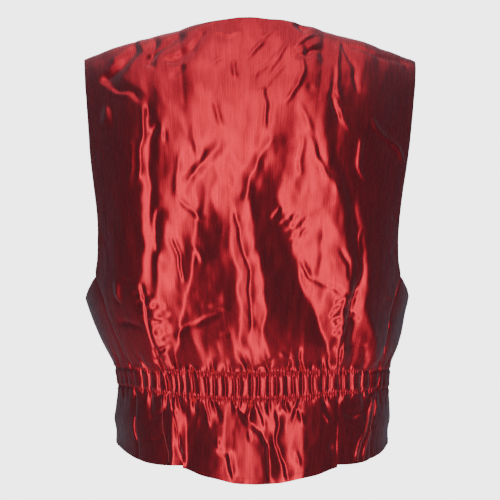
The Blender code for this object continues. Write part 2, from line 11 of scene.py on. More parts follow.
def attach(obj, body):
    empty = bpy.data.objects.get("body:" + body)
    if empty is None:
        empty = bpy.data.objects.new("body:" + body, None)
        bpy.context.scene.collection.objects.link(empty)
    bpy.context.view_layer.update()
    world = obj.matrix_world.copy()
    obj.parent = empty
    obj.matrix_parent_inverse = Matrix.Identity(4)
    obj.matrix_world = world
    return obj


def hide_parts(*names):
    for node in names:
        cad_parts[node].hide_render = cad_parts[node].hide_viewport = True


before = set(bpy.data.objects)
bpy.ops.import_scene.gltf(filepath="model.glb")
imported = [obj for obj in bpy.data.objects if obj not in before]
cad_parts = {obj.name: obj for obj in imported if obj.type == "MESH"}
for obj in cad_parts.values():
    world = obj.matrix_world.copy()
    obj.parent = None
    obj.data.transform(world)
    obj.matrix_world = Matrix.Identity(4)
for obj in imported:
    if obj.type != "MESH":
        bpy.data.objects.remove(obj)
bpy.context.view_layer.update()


# The back: one cloth of shot taffeta from the neck to the hem, with two long darts. An
# elastic in a stitched casing gathers it at the waist, and below that it is a short skirt.
# Metres, with the wearer's left at +X and the back at +Y.

# Rings of the worn form, as half width, depth behind and before, and sway to +X
Girth = namedtuple("Girth", "level half_width back_depth front_depth sway")
GIRTHS = [
    Girth(-0.560, 0.1660, 0.1180, 0.1160, -0.0030),
    Girth(-0.512, 0.1665, 0.1140, 0.1155, -0.0025),
    Girth(-0.490, 0.1690, 0.1100, 0.1140, -0.0027),
    Girth(-0.451, 0.1680, 0.1035, 0.1120, -0.0040),
    Girth(-0.431, 0.1675, 0.1010, 0.1120, -0.0045),
    Girth(-0.412, 0.1700, 0.1050, 0.1130, -0.0035),
    Girth(-0.3915, 0.1780, 0.1130, 0.1150, -0.0022),
    Girth(-0.372, 0.1845, 0.1170, 0.1180, 0.0000),
    Girth(-0.352, 0.1900, 0.1190, 0.1200, 0.0025),
    Girth(-0.322, 0.1985, 0.1200, 0.1220, 0.0038),
    Girth(-0.300, 0.2005, 0.1205, 0.1230, 0.0045),
    Girth(-0.250, 0.2050, 0.1215, 0.1250, 0.0048),
    Girth(-0.160, 0.2140, 0.1240, 0.1240, 0.0038),
    Girth(-0.050, 0.2280, 0.1220, 0.1200, 0.0005),
    Girth(0.020, 0.2350, 0.1200, 0.1180, 0.0000),
]
BACK_SQUARENESS = 2.6
FRONT_SQUARENESS = 2.2
BODY_CENTRE = np.array((0.0, 0.0, -0.25))

# The neck edge, the shoulder line and the level down to which they shape the cloth
NECK_HALF = 0.089
NECK_RISE = 0.0115
NECK_ARCH = 2.2
SHOULDER_HALF = 0.205
SHOULDER_DROP = 0.0344
SHOULDER_FULLNESS = 0.002
RIDGE_AT_CENTRE = 0.062
RIDGE_AT_NECK = 0.016
RIDGE_AT_TIP = -0.004
SHAPED_TO = -0.160

# The edge of the back, its darts and its hem
Edge = namedtuple("Edge", "level half_width")
BACK_EDGE = [
    Edge(-0.548, 0.1385),
    Edge(-0.520, 0.1396),
    Edge(-0.490, 0.1434),
    Edge(-0.446, 0.1457),
    Edge(-0.400, 0.1562),
    Edge(-0.360, 0.1673),
    Edge(-0.325, 0.1775),
    Edge(-0.302, 0.1845),
    Edge(-0.282, 0.1822),
    Edge(-0.248, 0.1818),
    Edge(-0.215, 0.1842),
    Edge(-0.185, 0.1876),
    Edge(-0.160, 0.1912),
]
Dart = namedtuple("Dart", "level left right")
DARTS = [
    Dart(-0.530, 0.0870, 0.0980),
    Dart(-0.479, 0.0960, 0.0985),
    Dart(-0.443, 0.1025, 0.0985),
    Dart(-0.411, 0.1090, 0.0990),
    Dart(-0.384, 0.1170, 0.1040),
    Dart(-0.360, 0.1205, 0.1130),
    Dart(-0.336, 0.1220, 0.1210),
    Dart(-0.315, 0.1260, 0.1260),
    Dart(-0.160, 0.1220, 0.1220),
]
DART_SHARE = 0.625
NECK_SHARE = 0.375
Hem = namedtuple("Hem", "share level")
CENTRE_HEM = [
    Hem(0.00, -0.5480),
    Hem(0.20, -0.5460),
    Hem(0.33, -0.5415),
    Hem(0.47, -0.5370),
    Hem(0.56, -0.5320),
    Hem(0.625, -0.5290),
]
SIDE_HEM = [
    Hem(0.625, -0.5262),
    Hem(0.80, -0.5260),
    Hem(0.92, -0.5240),
    Hem(1.00, -0.5215),
]
HEM_FROM = -0.466
HEM_AT = -0.548


def curve(table, column, at):
    """A smooth curve through one column of a short table, read at many places."""
    knots = np.array([row[0] for row in table])
    values = np.array([getattr(row, column) for row in table])
    slopes = np.gradient(values, knots)
    at = np.asarray(at, dtype=float)
    index = np.clip(np.searchsorted(knots, at) - 1, 0, len(knots) - 2)
    span = knots[index + 1] - knots[index]
    t = np.clip((at - knots[index]) / span, 0, 1)
    start = (2 * t**3 - 3 * t**2 + 1) * values[index]
    end = (3 * t**2 - 2 * t**3) * values[index + 1]
    leave = (t**3 - 2 * t**2 + t) * span * slopes[index]
    arrive = (t**3 - t**2) * span * slopes[index + 1]
    return start + end + leave + arrive


def ease(t):
    """Goes from 0 to 1 with no slope at either end."""
    t = np.clip(t, 0, 1)
    return t * t * (3 - 2 * t)


def angle_of(x, level, front=False):
    """The angle from centre back at which a ring is x to the side of its middle."""
    power = FRONT_SQUARENESS if front else BACK_SQUARENESS
    across = np.clip(x / curve(GIRTHS, "half_width", level), -1, 1)
    depth = (1 - np.abs(across) ** power) ** (1 / power)
    angle = np.arctan2(across, depth)
    return math.pi - angle if front else angle


def on_ring(angle, level):
    """Points of the worn form: angle 0 is centre back, half a turn is centre front."""
    sine, cosine = np.sin(angle), np.cos(angle)
    power = np.where(cosine >= 0, BACK_SQUARENESS, FRONT_SQUARENESS)
    depths = [curve(GIRTHS, column, level) for column in ("back_depth", "front_depth")]
    depth = np.where(cosine >= 0, *depths)
    reach = (np.abs(sine) ** power + np.abs(cosine) ** power) ** (-1 / power)
    x = curve(GIRTHS, "half_width", level) * reach * sine + curve(GIRTHS, "sway", level)
    return np.stack((x, depth * reach * cosine, level + 0 * sine), axis=-1)


# Distances around the cloth are those along one ring of its form
MEASURED_AT = -0.350
ring_angles = np.linspace(0, 1.1 * math.pi, 400)
ring_points = on_ring(ring_angles, np.full_like(ring_angles, MEASURED_AT))
ring_steps = np.linalg.norm(np.diff(ring_points, axis=0), axis=1)
ring_around = np.concatenate(([0], np.cumsum(ring_steps)))


def around_of(angle):
    """Distance around the cloth from the centre back, with the sign of the angle."""
    return np.copysign(np.interp(np.abs(angle), ring_angles, ring_around), angle)


def over_shoulder(top_x, side, flat, down, roundness):
    """The cloth between the neck or shoulder line and the level where the shaping ends."""
    neck = np.clip(top_x / NECK_HALF, 0, 1) ** NECK_ARCH
    shoulder = (top_x - NECK_HALF) / (SHOULDER_HALF - NECK_HALF)
    on_neck = top_x <= NECK_HALF
    full = SHOULDER_FULLNESS * 4 * shoulder * (1 - shoulder)
    depth_at_neck = RIDGE_AT_CENTRE + (RIDGE_AT_NECK - RIDGE_AT_CENTRE) * neck
    depth_at_shoulder = RIDGE_AT_NECK + (RIDGE_AT_TIP - RIDGE_AT_NECK) * shoulder
    depth = np.where(on_neck, depth_at_neck, depth_at_shoulder)
    level = np.where(on_neck, NECK_RISE * (1 - neck), full - SHOULDER_DROP * shoulder)
    turn = np.clip(down, -0.05, 1) * math.pi / 2
    fall = 1 - np.cos(turn)
    out = np.sign(turn) * np.abs(np.sin(turn)) ** roundness
    x = side * top_x + (flat[..., 0] - side * top_x) * fall
    y = depth + (flat[..., 1] - depth) * out
    return np.stack((x, y, level + (SHAPED_TO - level) * fall), axis=-1)


def back_angle(share, level):
    """The angle of a column of the back: share is 0 at centre back and 1 or -1 at an edge."""
    left = curve(DARTS, "left", level)
    right = curve(DARTS, "right", level)
    dart = angle_of(np.where(share > 0, left, right), level)
    edge = angle_of(curve(BACK_EDGE, "half_width", level), level)
    inside = np.abs(share) / DART_SHARE * dart
    outside = dart + (np.abs(share) - DART_SHARE) / (1 - DART_SHARE) * (edge - dart)
    return np.copysign(np.where(np.abs(share) < DART_SHARE, inside, outside), share)


def hung(level, hem, height):
    """The skirt's rows: the height of a row, stretched down so that the last is the hem."""
    drop = HEM_FROM + (hem - HEM_FROM) * (HEM_FROM - level) / (HEM_FROM - HEM_AT)
    return np.where(level < HEM_FROM, drop, height)


def back_form(share, down):
    """The back without folds. Down is 0 at the top edge and 1 where the shaping ends,
    and beyond that it is 1 and the metres below."""
    side = np.copysign(1, share)
    half = np.abs(share)
    tip = NECK_HALF + (SHOULDER_HALF - NECK_HALF) * (half - NECK_SHARE) / (1 - NECK_SHARE)
    top_x = np.where(half < NECK_SHARE, NECK_HALF * half / NECK_SHARE, tip)
    flat = on_ring(back_angle(share, SHAPED_TO), SHAPED_TO + 0 * share)
    shaped = over_shoulder(top_x, side, flat, down, 2 - ease(half / NECK_SHARE))
    level = np.minimum(SHAPED_TO - (down - 1), SHAPED_TO)
    plain = on_ring(back_angle(share, level), level)
    hems = [curve(table, "level", half) for table in (CENTRE_HEM, SIDE_HEM)]
    plain[..., 2] = hung(level, np.where(half < DART_SHARE, *hems), level)
    return np.where((down <= 1)[..., None], shaped, plain)


def outward(form, share, down):
    """The direction straight out of the cloth."""
    step = 0.003
    across = form(share + step, down) - form(share - step, down)
    along = form(share, down + step) - form(share, down - step)
    normal = np.cross(across, along)
    normal /= np.linalg.norm(normal, axis=-1, keepdims=True)
    inward = np.sum(normal * (form(share, down) - BODY_CENTRE), axis=-1) < 0
    normal[inward] *= -1
    return normal


# Folds are first drawn on a flat plan of the cloth: metres around from the centre back
# by level, with the height of the cloth off its form in each cell.
MM = 1000
CELL_AROUND = 0.0008
CELL_DOWN = 0.0012
PLAN_AROUND = np.arange(-0.520, 0.5205, CELL_AROUND)
PLAN_LEVEL = np.arange(-0.560, 0.021, CELL_DOWN)
around_grid, level_grid = np.meshgrid(PLAN_AROUND, PLAN_LEVEL)
plan = np.zeros_like(around_grid)

# The largest folds, in millimetres: creases down the cloth with flat facets between them.
# Each has its distance around and its lift off the form at every one of the levels.
Crease = namedtuple("Crease", "around lift")
FOLD_LEVELS = [-60, -110, -160, -210, -250, -295, -335, -370, -400]
FOLDS = [
    Crease([-440, -444, -446, -448, -448, -446, -444, -440, -436],
           [0, -1, -2, -3, -3, -2, -2, -2, -1]),
    Crease([-410, -408, -404, -402, -402, -404, -406, -404, -400],
           [0, 2, 3, 4, 4, 4, 3, 3, 1]),
    Crease([-290, -290, -290, -290, -290, -292, -294, -296, -296],
           [0, 0, 0, 0, 0, 2, 4, 4, 2]),
    # Right of the back: a crest by the dart, the trough at the dart, the blade's crest
    Crease([-88, -97, -106, -119, -129, -134, -142, -152, -158],
           [0, 0, 1, 1, 3, 4, 6, 9, 9]),
    Crease([-79, -87, -95, -112, -123, -127, -125, -125, -126],
           [0, 0, 0, 0, 0, 0, -1, -2, -2]),
    Crease([-73, -78, -85, -106, -111, -113, -115, -113, -112],
           [1, 2, 2, 3, 4, 5, 5, 4, 4]),
    # The wide trough right of the middle
    Crease([-23, -29, -32, -33, -43, -55, -74, -88, -99],
           [0, 0, -1, -5, -7, -8, -8, -8, -6]),
    # The double ridge down the middle, with its thin valley
    Crease([1, -3, -7, -6, -3, -10, -14, -17, -19],
           [0, 0, 1, 4, 5, 5.5, 5.5, 5, 3]),
    Crease([25, 21, 18, 16, 11, 5, 1, 0, -1],
           [0, 0, 0, 2, 4.5, 4.5, 4.5, 3.5, 1.5]),
    Crease([31, 28, 24, 20, 21, 16, 13, 12, 13],
           [0, 0, 0, 2, 6, 6, 6, 6, 4]),
    # The trough left of the middle
    Crease([68, 64, 59, 57, 57, 63, 76, 90, 103],
           [0, 0, 0, 0, -5, -7, -6.5, -6.5, -3]),
    # Left of the back: the two crests of the blade, with a thin trough between them
    Crease([104, 97, 97, 98, 98, 101, 104, 110, 112],
           [1, 3, 4, 4, 5, 5, 3, 1, 1]),
    Crease([110, 106, 106, 108, 106, 107, 112, 120, 122],
           [1, 1, 1.5, 2, 2, 4, 5.5, 4, 3]),
    Crease([116, 113, 112, 114, 117, 119, 123, 129, 132],
           [1, 3, 4, 5, 6, 7.5, 8.5, 7.5, 6]),
    # Left front, under the arm and beside the buttons
    Crease([300, 300, 300, 300, 300, 300, 298, 296, 294],
           [0, 0, 0, 0, 0, 3, 4, 4, 2]),
    Crease([404, 402, 398, 396, 394, 394, 392, 392, 392],
           [0, 2, 3, 3, 4, 4, 4, 3, 1]),
    Crease([436, 438, 438, 438, 436, 436, 434, 432, 430],
           [0, -1, -2, -2, -3, -3, -3, -2, -1]),
]
SKIRT_LEVELS = [-466, -500, -548]
SKIRT_FOLDS = [
    Crease([-400, -404, -408], [1, 3, 4]),
    Crease([-330, -330, -330], [-1, -2, -3]),
    Crease([-290, -286, -282], [1, 3, 3]),
    Crease([-111, -111, -111], [-1, -2, -2]),
    Crease([-68, -66, -62], [3, 4, 4.5]),
    Crease([-36, -34, -40], [0, 1, 2]),
    Crease([-14, -20, -24], [1, -1, -1]),
    Crease([10, 12, 8], [1, 2, 3]),
    Crease([40, 40, 34], [3, 5, 6]),
    Crease([96, 100, 100], [-3, -5, -6]),
    Crease([113, 121, 117], [2, 3, 1]),
    Crease([121, 128, 124], [1, 1, -1]),
    Crease([280, 284, 288], [1, 3, 4]),
    Crease([335, 332, 330], [-1, -2, -3]),
    Crease([405, 400, 396], [1, 3, 4]),
]
CASING_TOP = -0.417
CASING_BOTTOM = -0.446
FOLDS_FADE = 0.014
FOLDS_TOP = 0.010
FOLDS_START = -0.045
CENTRE_FRONT_CLEAR = 0.470


def softened(field, across, down):
    """A plan field averaged over so many cells each way, so that its creases are round."""
    for axis, cells in ((1, across), (0, down)):
        offsets = np.arange(-int(3 * cells), int(3 * cells) + 1)
        weights = np.exp(-0.5 * (offsets / cells) ** 2)
        weights /= weights.sum()
        shifted = (np.roll(field, offset, axis=axis) for offset in offsets)
        field = sum(weight * moved for moved, weight in zip(shifted, weights))
    return field


def read_between(field, i, j, s, t):
    """A field read s of the way from row i to the next and t from column j to the next."""
    first = field[i, j] * (1 - t) + field[i, j + 1] * t
    second = field[i + 1, j] * (1 - t) + field[i + 1, j + 1] * t
    return first * (1 - s) + second * s


# Nothing on worn cloth runs straight: the creases wander over the plan by so much. The
# waves are drawn in cells so many times as wide, and read between them.
WANDER = 0.0022
COARSE = 4
chance = np.random.default_rng(11)


def wandering(across, down, size):
    """A smooth field over the plan that varies by size, with waves as wide and as long."""
    noise = chance.normal(size=(plan.shape[0] // COARSE + 1, plan.shape[1] // COARSE + 1))
    field = softened(noise, across / (COARSE * CELL_AROUND), down / (COARSE * CELL_DOWN))
    rows, columns = (np.arange(count) / COARSE for count in plan.shape)
    i, j = np.ix_(rows.astype(int), columns.astype(int))
    field = np.pad(field, ((0, 1), (0, 1)), mode="edge")
    field = read_between(field, i, j, rows[:, None] - i, columns[None, :] - j)
    return size * field / field.std()


wander_across = wandering(0.012, 0.014, WANDER) + wandering(0.004, 0.006, 0.45 * WANDER)
wander_down = wandering(0.014, 0.012, WANDER) + wandering(0.005, 0.005, 0.35 * WANDER)
for row, level in enumerate(PLAN_LEVEL):
    if CASING_BOTTOM < level < CASING_TOP:
        continue
    above = level >= CASING_TOP
    creases, levels = (FOLDS, FOLD_LEVELS) if above else (SKIRT_FOLDS, SKIRT_LEVELS)
    levels = np.array(levels) / MM
    nearest = min(max(level, BACK_EDGE[0].level), SHAPED_TO)
    edge = float(around_of(angle_of(curve(BACK_EDGE, "half_width", nearest), nearest)))
    knots = [(side * still, 0.0) for side in (-1, 1) for still in (edge, CENTRE_FRONT_CLEAR)]
    for crease in creases:
        knots.append(tuple(np.interp(-level, -levels, np.array(values) / MM) for values in crease))
    knots.sort()
    beyond = level - CASING_TOP if above else CASING_BOTTOM - level
    fade = ease(beyond / FOLDS_FADE) * ease((FOLDS_TOP - level) / (FOLDS_TOP - FOLDS_START))
    plan[row] = fade * np.interp(PLAN_AROUND + wander_across[row], *zip(*knots))
plan = softened(plan, across=1.8, down=2.5)

# Creases pressed into the cloth, each a line in millimetres on the plan, from the top
# down or from image left to right. Rise is the ridge's height, or less than zero for a
# trough, and it slopes off over the two widths: on the wearer's left or below, then right,
# which in a trough is the soft flank and so many times as wide.
Fold = namedtuple("Fold", "line rise before after")
SOFT_FLANK = 2.0
FLANK_POWER = 1.3
END_SHARE = 0.35
END_LENGTH = 0.012
PRESSED = [
    # Drawn from the left shoulder down towards the armhole
    Fold([(109, -17), (133, -45), (162, -70)], -5.0, 7, 7),
    Fold([(88, -8), (96, -28), (104, -58)], -4.5, 6, 6),
    Fold([(68, 0), (84, -22), (108, -44)], -3.0, 4, 5),
    Fold([(47, 2), (58, -24), (82, -46)], -4.0, 6, 6),
    Fold([(60, -44), (70, -54), (82, -62)], -2.0, 4, 3),
    Fold([(131, -29), (149, -47)], 1.2, 4, 4),
    Fold([(156, -75), (139, -84), (124, -87)], 1.4, 4, 3),
    Fold([(153, -70), (124, -84), (114, -97)], -2.0, 3, 4),
    Fold([(114, -97), (111, -114), (113, -129), (113, -143), (116, -187)], 1.6, 4, 3),
    Fold([(108, -100), (103, -122)], -2.0, 2, 4),
    Fold([(95, -123), (108, -138)], -2.2, 3, 3),
    Fold([(89, -127), (90, -143)], -1.2, 3, 3),
    Fold([(156, -94), (155, -124)], 3.6, 8, 6),
    Fold([(125, -128), (129, -199)], 1.0, 6, 6),
    # Fine folds round the neck
    Fold([(38, -7), (26, -10), (20, -16), (8, -13)], 1.5, 3, 3),
    Fold([(19, -33), (18, -53), (17, -72)], 2.0, 3, 3),
    Fold([(19, -36), (19, -44)], -1.8, 1.5, 1.5),
    Fold([(38, -51), (31, -38)], 1.2, 2.5, 2.5),
    Fold([(-14, -13), (-5, -27), (5, -41)], 2.0, 2.5, 2.5),
    Fold([(-36, -16), (-26, -40), (-17, -60)], 2.0, 2.5, 2.5),
    Fold([(-68, -22), (-52, -34), (-40, -44)], -2.6, 2.5, 3),
    Fold([(-25, -2), (-16, -9), (-9, -17)], 1.5, 3, 3),
    Fold([(-25, -33), (-16, -48), (-1, -71)], 1.5, 3.5, 3.5),
    Fold([(-14, -77), (-7, -84)], 1.2, 2.5, 2.5),
    Fold([(-35, -43), (-26, -66), (-15, -82)], 1.4, 3, 3),
    Fold([(-18, -74), (-20, -101), (-18, -130)], -0.8, 4, 3),
    Fold([(-15, -74), (-16, -101), (-15, -132)], 1.0, 3, 2),
    Fold([(-49, -30), (-50, -53), (-46, -74), (-40, -88), (-33, -100)], 2.1, 3.5, 2.5),
    Fold([(-37, 7), (-44, -4), (-51, -11)], -4.2, 4, 5),
    Fold([(-60, -8), (-50, -19), (-40, -30)], 2.7, 3.5, 3.5),
    Fold([(-52, -22), (-55, -43)], -3.0, 3, 6),
    Fold([(-64, -18), (-69, -50)], -2.4, 6, 6),
    # Drawn from the right shoulder down towards the armhole
    Fold([(-81, -17), (-84, -76), (-92, -100)], 1.8, 4, 5),
    Fold([(-86, -16), (-95, -37), (-103, -60), (-110, -83)], -2.0, 3, 3),
    Fold([(-80, -67), (-76, -88), (-86, -107), (-94, -119)], -2.0, 2.5, 2.5),
    Fold([(-80, -85), (-93, -111), (-109, -130)], 1.3, 2.5, 3),
    Fold([(-116, -131), (-119, -165), (-128, -189)], 2.0, 3, 4),
    Fold([(-125, -105), (-146, -129), (-164, -143), (-178, -162)], 3.4, 5, 4),
    Fold([(-95, -24), (-126, -32), (-159, -41), (-176, -44)], -1.6, 4, 3),
    Fold([(-52, -71), (-61, -84)], -1.2, 2.5, 2.5),
    Fold([(-57, -124), (-65, -137), (-81, -165)], -1.2, 3, 3),
    Fold([(-45, -92), (-56, -116), (-72, -152), (-86, -187), (-104, -210)], 1.0, 6, 4),
    # Across the blades
    Fold([(35, -89), (32, -106), (29, -129)], 1.1, 5, 5),
    Fold([(27, -140), (47, -164), (68, -195)], 2.2, 8, 8),
    Fold([(41, -149), (54, -167)], -1.1, 4, 5),
    Fold([(53, -121), (54, -163)], 0.8, 6, 6),
    Fold([(74, -152), (78, -211)], 0.8, 6, 6),
    Fold([(-29, -130), (-12, -159), (-2, -183), (0, -216)], 1.6, 8, 7),
    Fold([(-49, -128), (-56, -185)], 0.8, 6, 6),
    Fold([(98, -217), (103, -258), (102, -282)], -2.6, 4, 7),
    Fold([(81, -253), (78, -285), (73, -309)], 1.5, 2.5, 2.5),
    Fold([(84, -256), (81, -285), (76, -309)], -0.8, 2, 1.5),
    Fold([(78, -208), (60, -225), (45, -238)], -1.8, 3, 3),
    Fold([(61, -265), (48, -287)], -1.5, 2.5, 2.5),
    Fold([(55, -330), (26, -337)], -1.5, 3, 3),
    Fold([(46, -368), (27, -368)], -1.3, 2.5, 2.5),
    Fold([(39, -341), (61, -350), (81, -362), (100, -375)], -2.2, 4, 3),
    Fold([(-36, -219), (-22, -233)], 2.4, 2.2, 2.2),
    Fold([(-44, -228), (-30, -242)], 2.6, 2.4, 2.0),
    Fold([(-50, -239), (-36, -251)], 2.4, 2.2, 2.2),
    Fold([(-55, -250), (-41, -261)], 2.0, 2.2, 2.2),
    Fold([(-50, -224), (-41, -234)], -1.5, 2.0, 2.0),
    Fold([(-60, -231), (-50, -241)], -1.6, 2.5, 2.5),
    Fold([(-61, -243), (-53, -252)], -1.3, 2.0, 2.0),
    Fold([(16, -222), (11, -250), (5, -295), (1, -335), (0, -368)], -1.1, 1.6, 4),
    Fold([(-55, -275), (-71, -296), (-85, -311), (-109, -326)], -1.8, 3, 3),
    Fold([(-100, -265), (-110, -288), (-112, -311)], -1.6, 3, 3),
    Fold([(-75, -239), (-80, -270), (-81, -305)], -0.9, 7, 7),
    Fold([(-124, -240), (-124, -270), (-124, -312)], 1.6, 2.5, 3),
    Fold([(-26, -396), (-13, -405), (4, -415)], -2.6, 3, 3),
    Fold([(-30, -390), (-49, -402)], 1.6, 3, 3),
    Fold([(-60, -381), (-55, -402)], -1.6, 3, 3),
    # Short ones drawn across beside the darts, above the waist
    Fold([(118, -339), (98, -336)], -1.5, 2.2, 2.0),
    Fold([(119, -348), (94, -343)], -1.9, 2.0, 2.4),
    Fold([(122, -355), (101, -353)], -1.4, 2.2, 2.0),
    Fold([(123, -363), (98, -359)], -1.8, 2.4, 2.0),
    Fold([(127, -371), (99, -366)], -2.0, 2.0, 2.4),
    Fold([(131, -380), (106, -377)], -1.5, 2.0, 2.0),
    Fold([(134, -389), (107, -385)], -1.9, 2.4, 2.0),
    Fold([(139, -399), (113, -396)], -1.6, 2.0, 2.2),
    Fold([(-100, -333), (-113, -330)], -2.0, 2.0, 2.0),
    Fold([(-98, -340), (-113, -337)], -2.2, 2.0, 2.0),
    Fold([(-97, -347), (-110, -341)], -2.4, 2.2, 2.0),
    Fold([(-100, -354), (-115, -350)], -2.2, 2.0, 2.2),
    Fold([(-103, -359), (-117, -354)], -2.0, 2.0, 2.0),
    Fold([(-104, -367), (-115, -363)], -1.8, 2.2, 2.0),
    Fold([(-117, -332), (-127, -335)], -1.8, 2.0, 2.0),
    Fold([(-119, -341), (-131, -344)], -1.9, 2.0, 2.0),
    Fold([(-120, -351), (-134, -353)], -2.0, 2.2, 2.2),
    Fold([(-122, -383), (-146, -381)], -1.4, 2.0, 2.4),
    # The sides
    Fold([(178, -250), (161, -266)], -1.5, 3, 3),
    Fold([(151, -303), (153, -332)], 3.4, 7, 6),
    Fold([(148, -304), (134, -310), (125, -320)], -1.6, 3, 3),
    Fold([(163, -329), (149, -335)], -1.3, 2.5, 2.5),
    Fold([(-163, -329), (-183, -333)], -1.4, 3, 3),
    Fold([(-160, -232), (-177, -237)], -1.3, 2.5, 2.5),
    Fold([(-169, -268), (-180, -277)], -1.2, 3, 3),
    Fold([(170, -356), (150, -357), (132, -362)], -2.2, 7, 3),
    # The skirt
    Fold([(157, -469), (138, -464), (122, -462)], -2.0, 4, 3),
    Fold([(161, -499), (143, -497), (127, -492)], -1.6, 4, 3),
    Fold([(158, -482), (138, -485), (120, -482)], 1.2, 4, 4),
    Fold([(112, -482), (109, -503), (103, -525)], 1.8, 2.5, 2.5),
    Fold([(118, -460), (105, -463)], -1.5, 2, 2),
    Fold([(69, -453), (65, -472), (63, -486)], 1.8, 4, 4),
    Fold([(47, -489), (45, -503)], 1.6, 3, 3),
    Fold([(50, -505), (35, -514), (32, -544)], -2.4, 3, 5),
    Fold([(28, -451), (9, -475), (-9, -492), (-19, -503), (-17, -546)], -3.4, 5, 7),
    Fold([(1, -451), (-7, -470), (-17, -488)], -1.8, 3, 4),
    Fold([(-30, -460), (-31, -492), (-38, -519), (-44, -545)], -2.8, 4, 6),
    Fold([(-35, -447), (-47, -467)], -2.4, 4, 3),
    Fold([(-55, -449), (-63, -463), (-69, -479)], 1.5, 3, 3),
    Fold([(-89, -461), (-99, -481)], 2.0, 2.5, 2.5),
    Fold([(-103, -497), (-108, -507)], -1.8, 3, 3),
    Fold([(-119, -463), (-137, -467), (-159, -466)], -2.2, 3, 5),
    Fold([(12, -487), (9, -497)], -1.2, 2, 2),
    Fold([(-52, -502), (-59, -527)], 1.2, 4, 5),
    Fold([(172, -465), (170, -496)], 2.4, 4, 4),
    # The topstitched edges of the right side seam
    Fold([(-166, -446), (-144, -524)], 2.8, 2.6, 1.4),
    Fold([(-175, -448), (-156, -525)], 2.8, 2.6, 1.4),
]


def press(line, rise, before, after):
    """Presses one crease into the plan. It fades out at both ends of its line."""
    after *= SOFT_FLANK if rise < 0 else 1
    points = np.array(line) / MM
    reach = max(before, after) / MM + 3 * WANDER
    low, high = points.min(axis=0) - reach, points.max(axis=0) + reach
    columns = np.where((PLAN_AROUND > low[0]) & (PLAN_AROUND < high[0]))[0]
    rows = np.where((PLAN_LEVEL > low[1]) & (PLAN_LEVEL < high[1]))[0]
    window = np.ix_(rows, columns)
    across = around_grid[window] + wander_across[window]
    place = np.stack((across, level_grid[window] + wander_down[window]), axis=-1)
    lengths = np.linalg.norm(np.diff(points, axis=0), axis=1)
    passed = np.concatenate(([0], np.cumsum(lengths)))
    best = np.full(place.shape[:2], np.inf)
    side = np.zeros_like(best)
    along = np.zeros_like(best)
    for index, length in enumerate(lengths):
        direction = (points[index + 1] - points[index]) / length
        offset = place - points[index]
        t = np.clip(offset @ direction, 0, length)
        away = np.linalg.norm(offset - t[..., None] * direction, axis=-1)
        nearer = away < best
        best = np.where(nearer, away, best)
        turned = direction[0] * offset[..., 1] - direction[1] * offset[..., 0]
        side = np.where(nearer, turned, side)
        along = np.where(nearer, passed[index] + t, along)
    width = np.where(side > 0, before, after) / MM
    slope = np.clip(1 - best / width, 0, 1) ** FLANK_POWER
    ends = np.minimum(along, passed[-1] - along) / min(END_SHARE * passed[-1], END_LENGTH)
    plan[window] += rise / MM * slope * ease(ends)


for fold in PRESSED:
    press(*fold)

# The crumpling of stiff taffeta: long soft waves, and finer ones that meet in creases
Crumple = namedtuple("Crumple", "across down height creased")
CRUMPLES = [
    Crumple(0.011, 0.026, 0.0006, False),
    Crumple(0.0060, 0.011, 0.0003, True),
    Crumple(0.0030, 0.006, 0.0001, True),
]
CREASE_HEIGHT = 0.8
BUTTON_STRIP = 0.025
BUTTON_STRIP_CALM = 0.85
calm = 1 - BUTTON_STRIP_CALM * ease((np.abs(PLAN_AROUND) - CENTRE_FRONT_CLEAR) / BUTTON_STRIP)
for crumple in CRUMPLES:
    rough = wandering(crumple.across, crumple.down, 1.0)
    if crumple.creased:
        rough = CREASE_HEIGHT - np.abs(rough)
    plan += crumple.height * rough * calm

# The casing: two rows of stitches round an elastic, which pinches the cloth into gathers
Casing = namedtuple("Casing", "around top bottom")
CASING = [
    Casing(-0.240, -0.4165, -0.4390),
    Casing(-0.185, -0.4160, -0.4395),
    Casing(-0.100, -0.4160, -0.4412),
    Casing(-0.058, -0.4170, -0.4455),
    Casing(0.000, -0.4180, -0.4480),
    Casing(0.050, -0.4180, -0.4475),
    Casing(0.105, -0.4160, -0.4425),
    Casing(0.150, -0.4145, -0.4385),
    Casing(0.185, -0.4130, -0.4360),
    Casing(0.240, -0.4130, -0.4360),
]
PINCHES = [
    -233, -219, -206, -192, -180, -163, -149, -131, -118, -99, -91, -75, -62, -49, -41, -27, -17,
    -2, 7, 23, 31, 44, 58, 68, 84, 96, 106, 113, 121, 134, 148, 160, 176, 190, 204, 219, 232,
]
CASING_END = 0.238
CASING_END_FADE = 0.012
# The gathers lean, and run out above and below the casing in tongues, some in long wedges
LEAN_MOST = 0.35
FOOT_WANDER = 0.3
ROW_HOLD = 0.6
TONGUE_SIZES = (0.35, 1.5)
GATHER_SIZES = (0.75, 1.3)
ARCH_RISE = 0.17
ARCH_POWER = 3.0
TONGUE_UP = 0.010
TONGUE_DOWN = 0.011
WEDGE_DEPTH = 0.0034
WEDGE_HALF = 0.0022
WEDGE_SPREAD = 0.30
WEDGE_POWER = 1.2
WEDGE_WANDER = 0.5
WEDGE_TONGUES = 3
WEDGE_START = 0.003
STITCH_DEPTH = 0.0016
STITCH_HALF = 0.0016
PUCKER_PITCH = 0.0036
PUCKER_HEIGHT = 0.0012
PUCKER_REACH = 0.0032
PUCKER_WOBBLE = 1.6

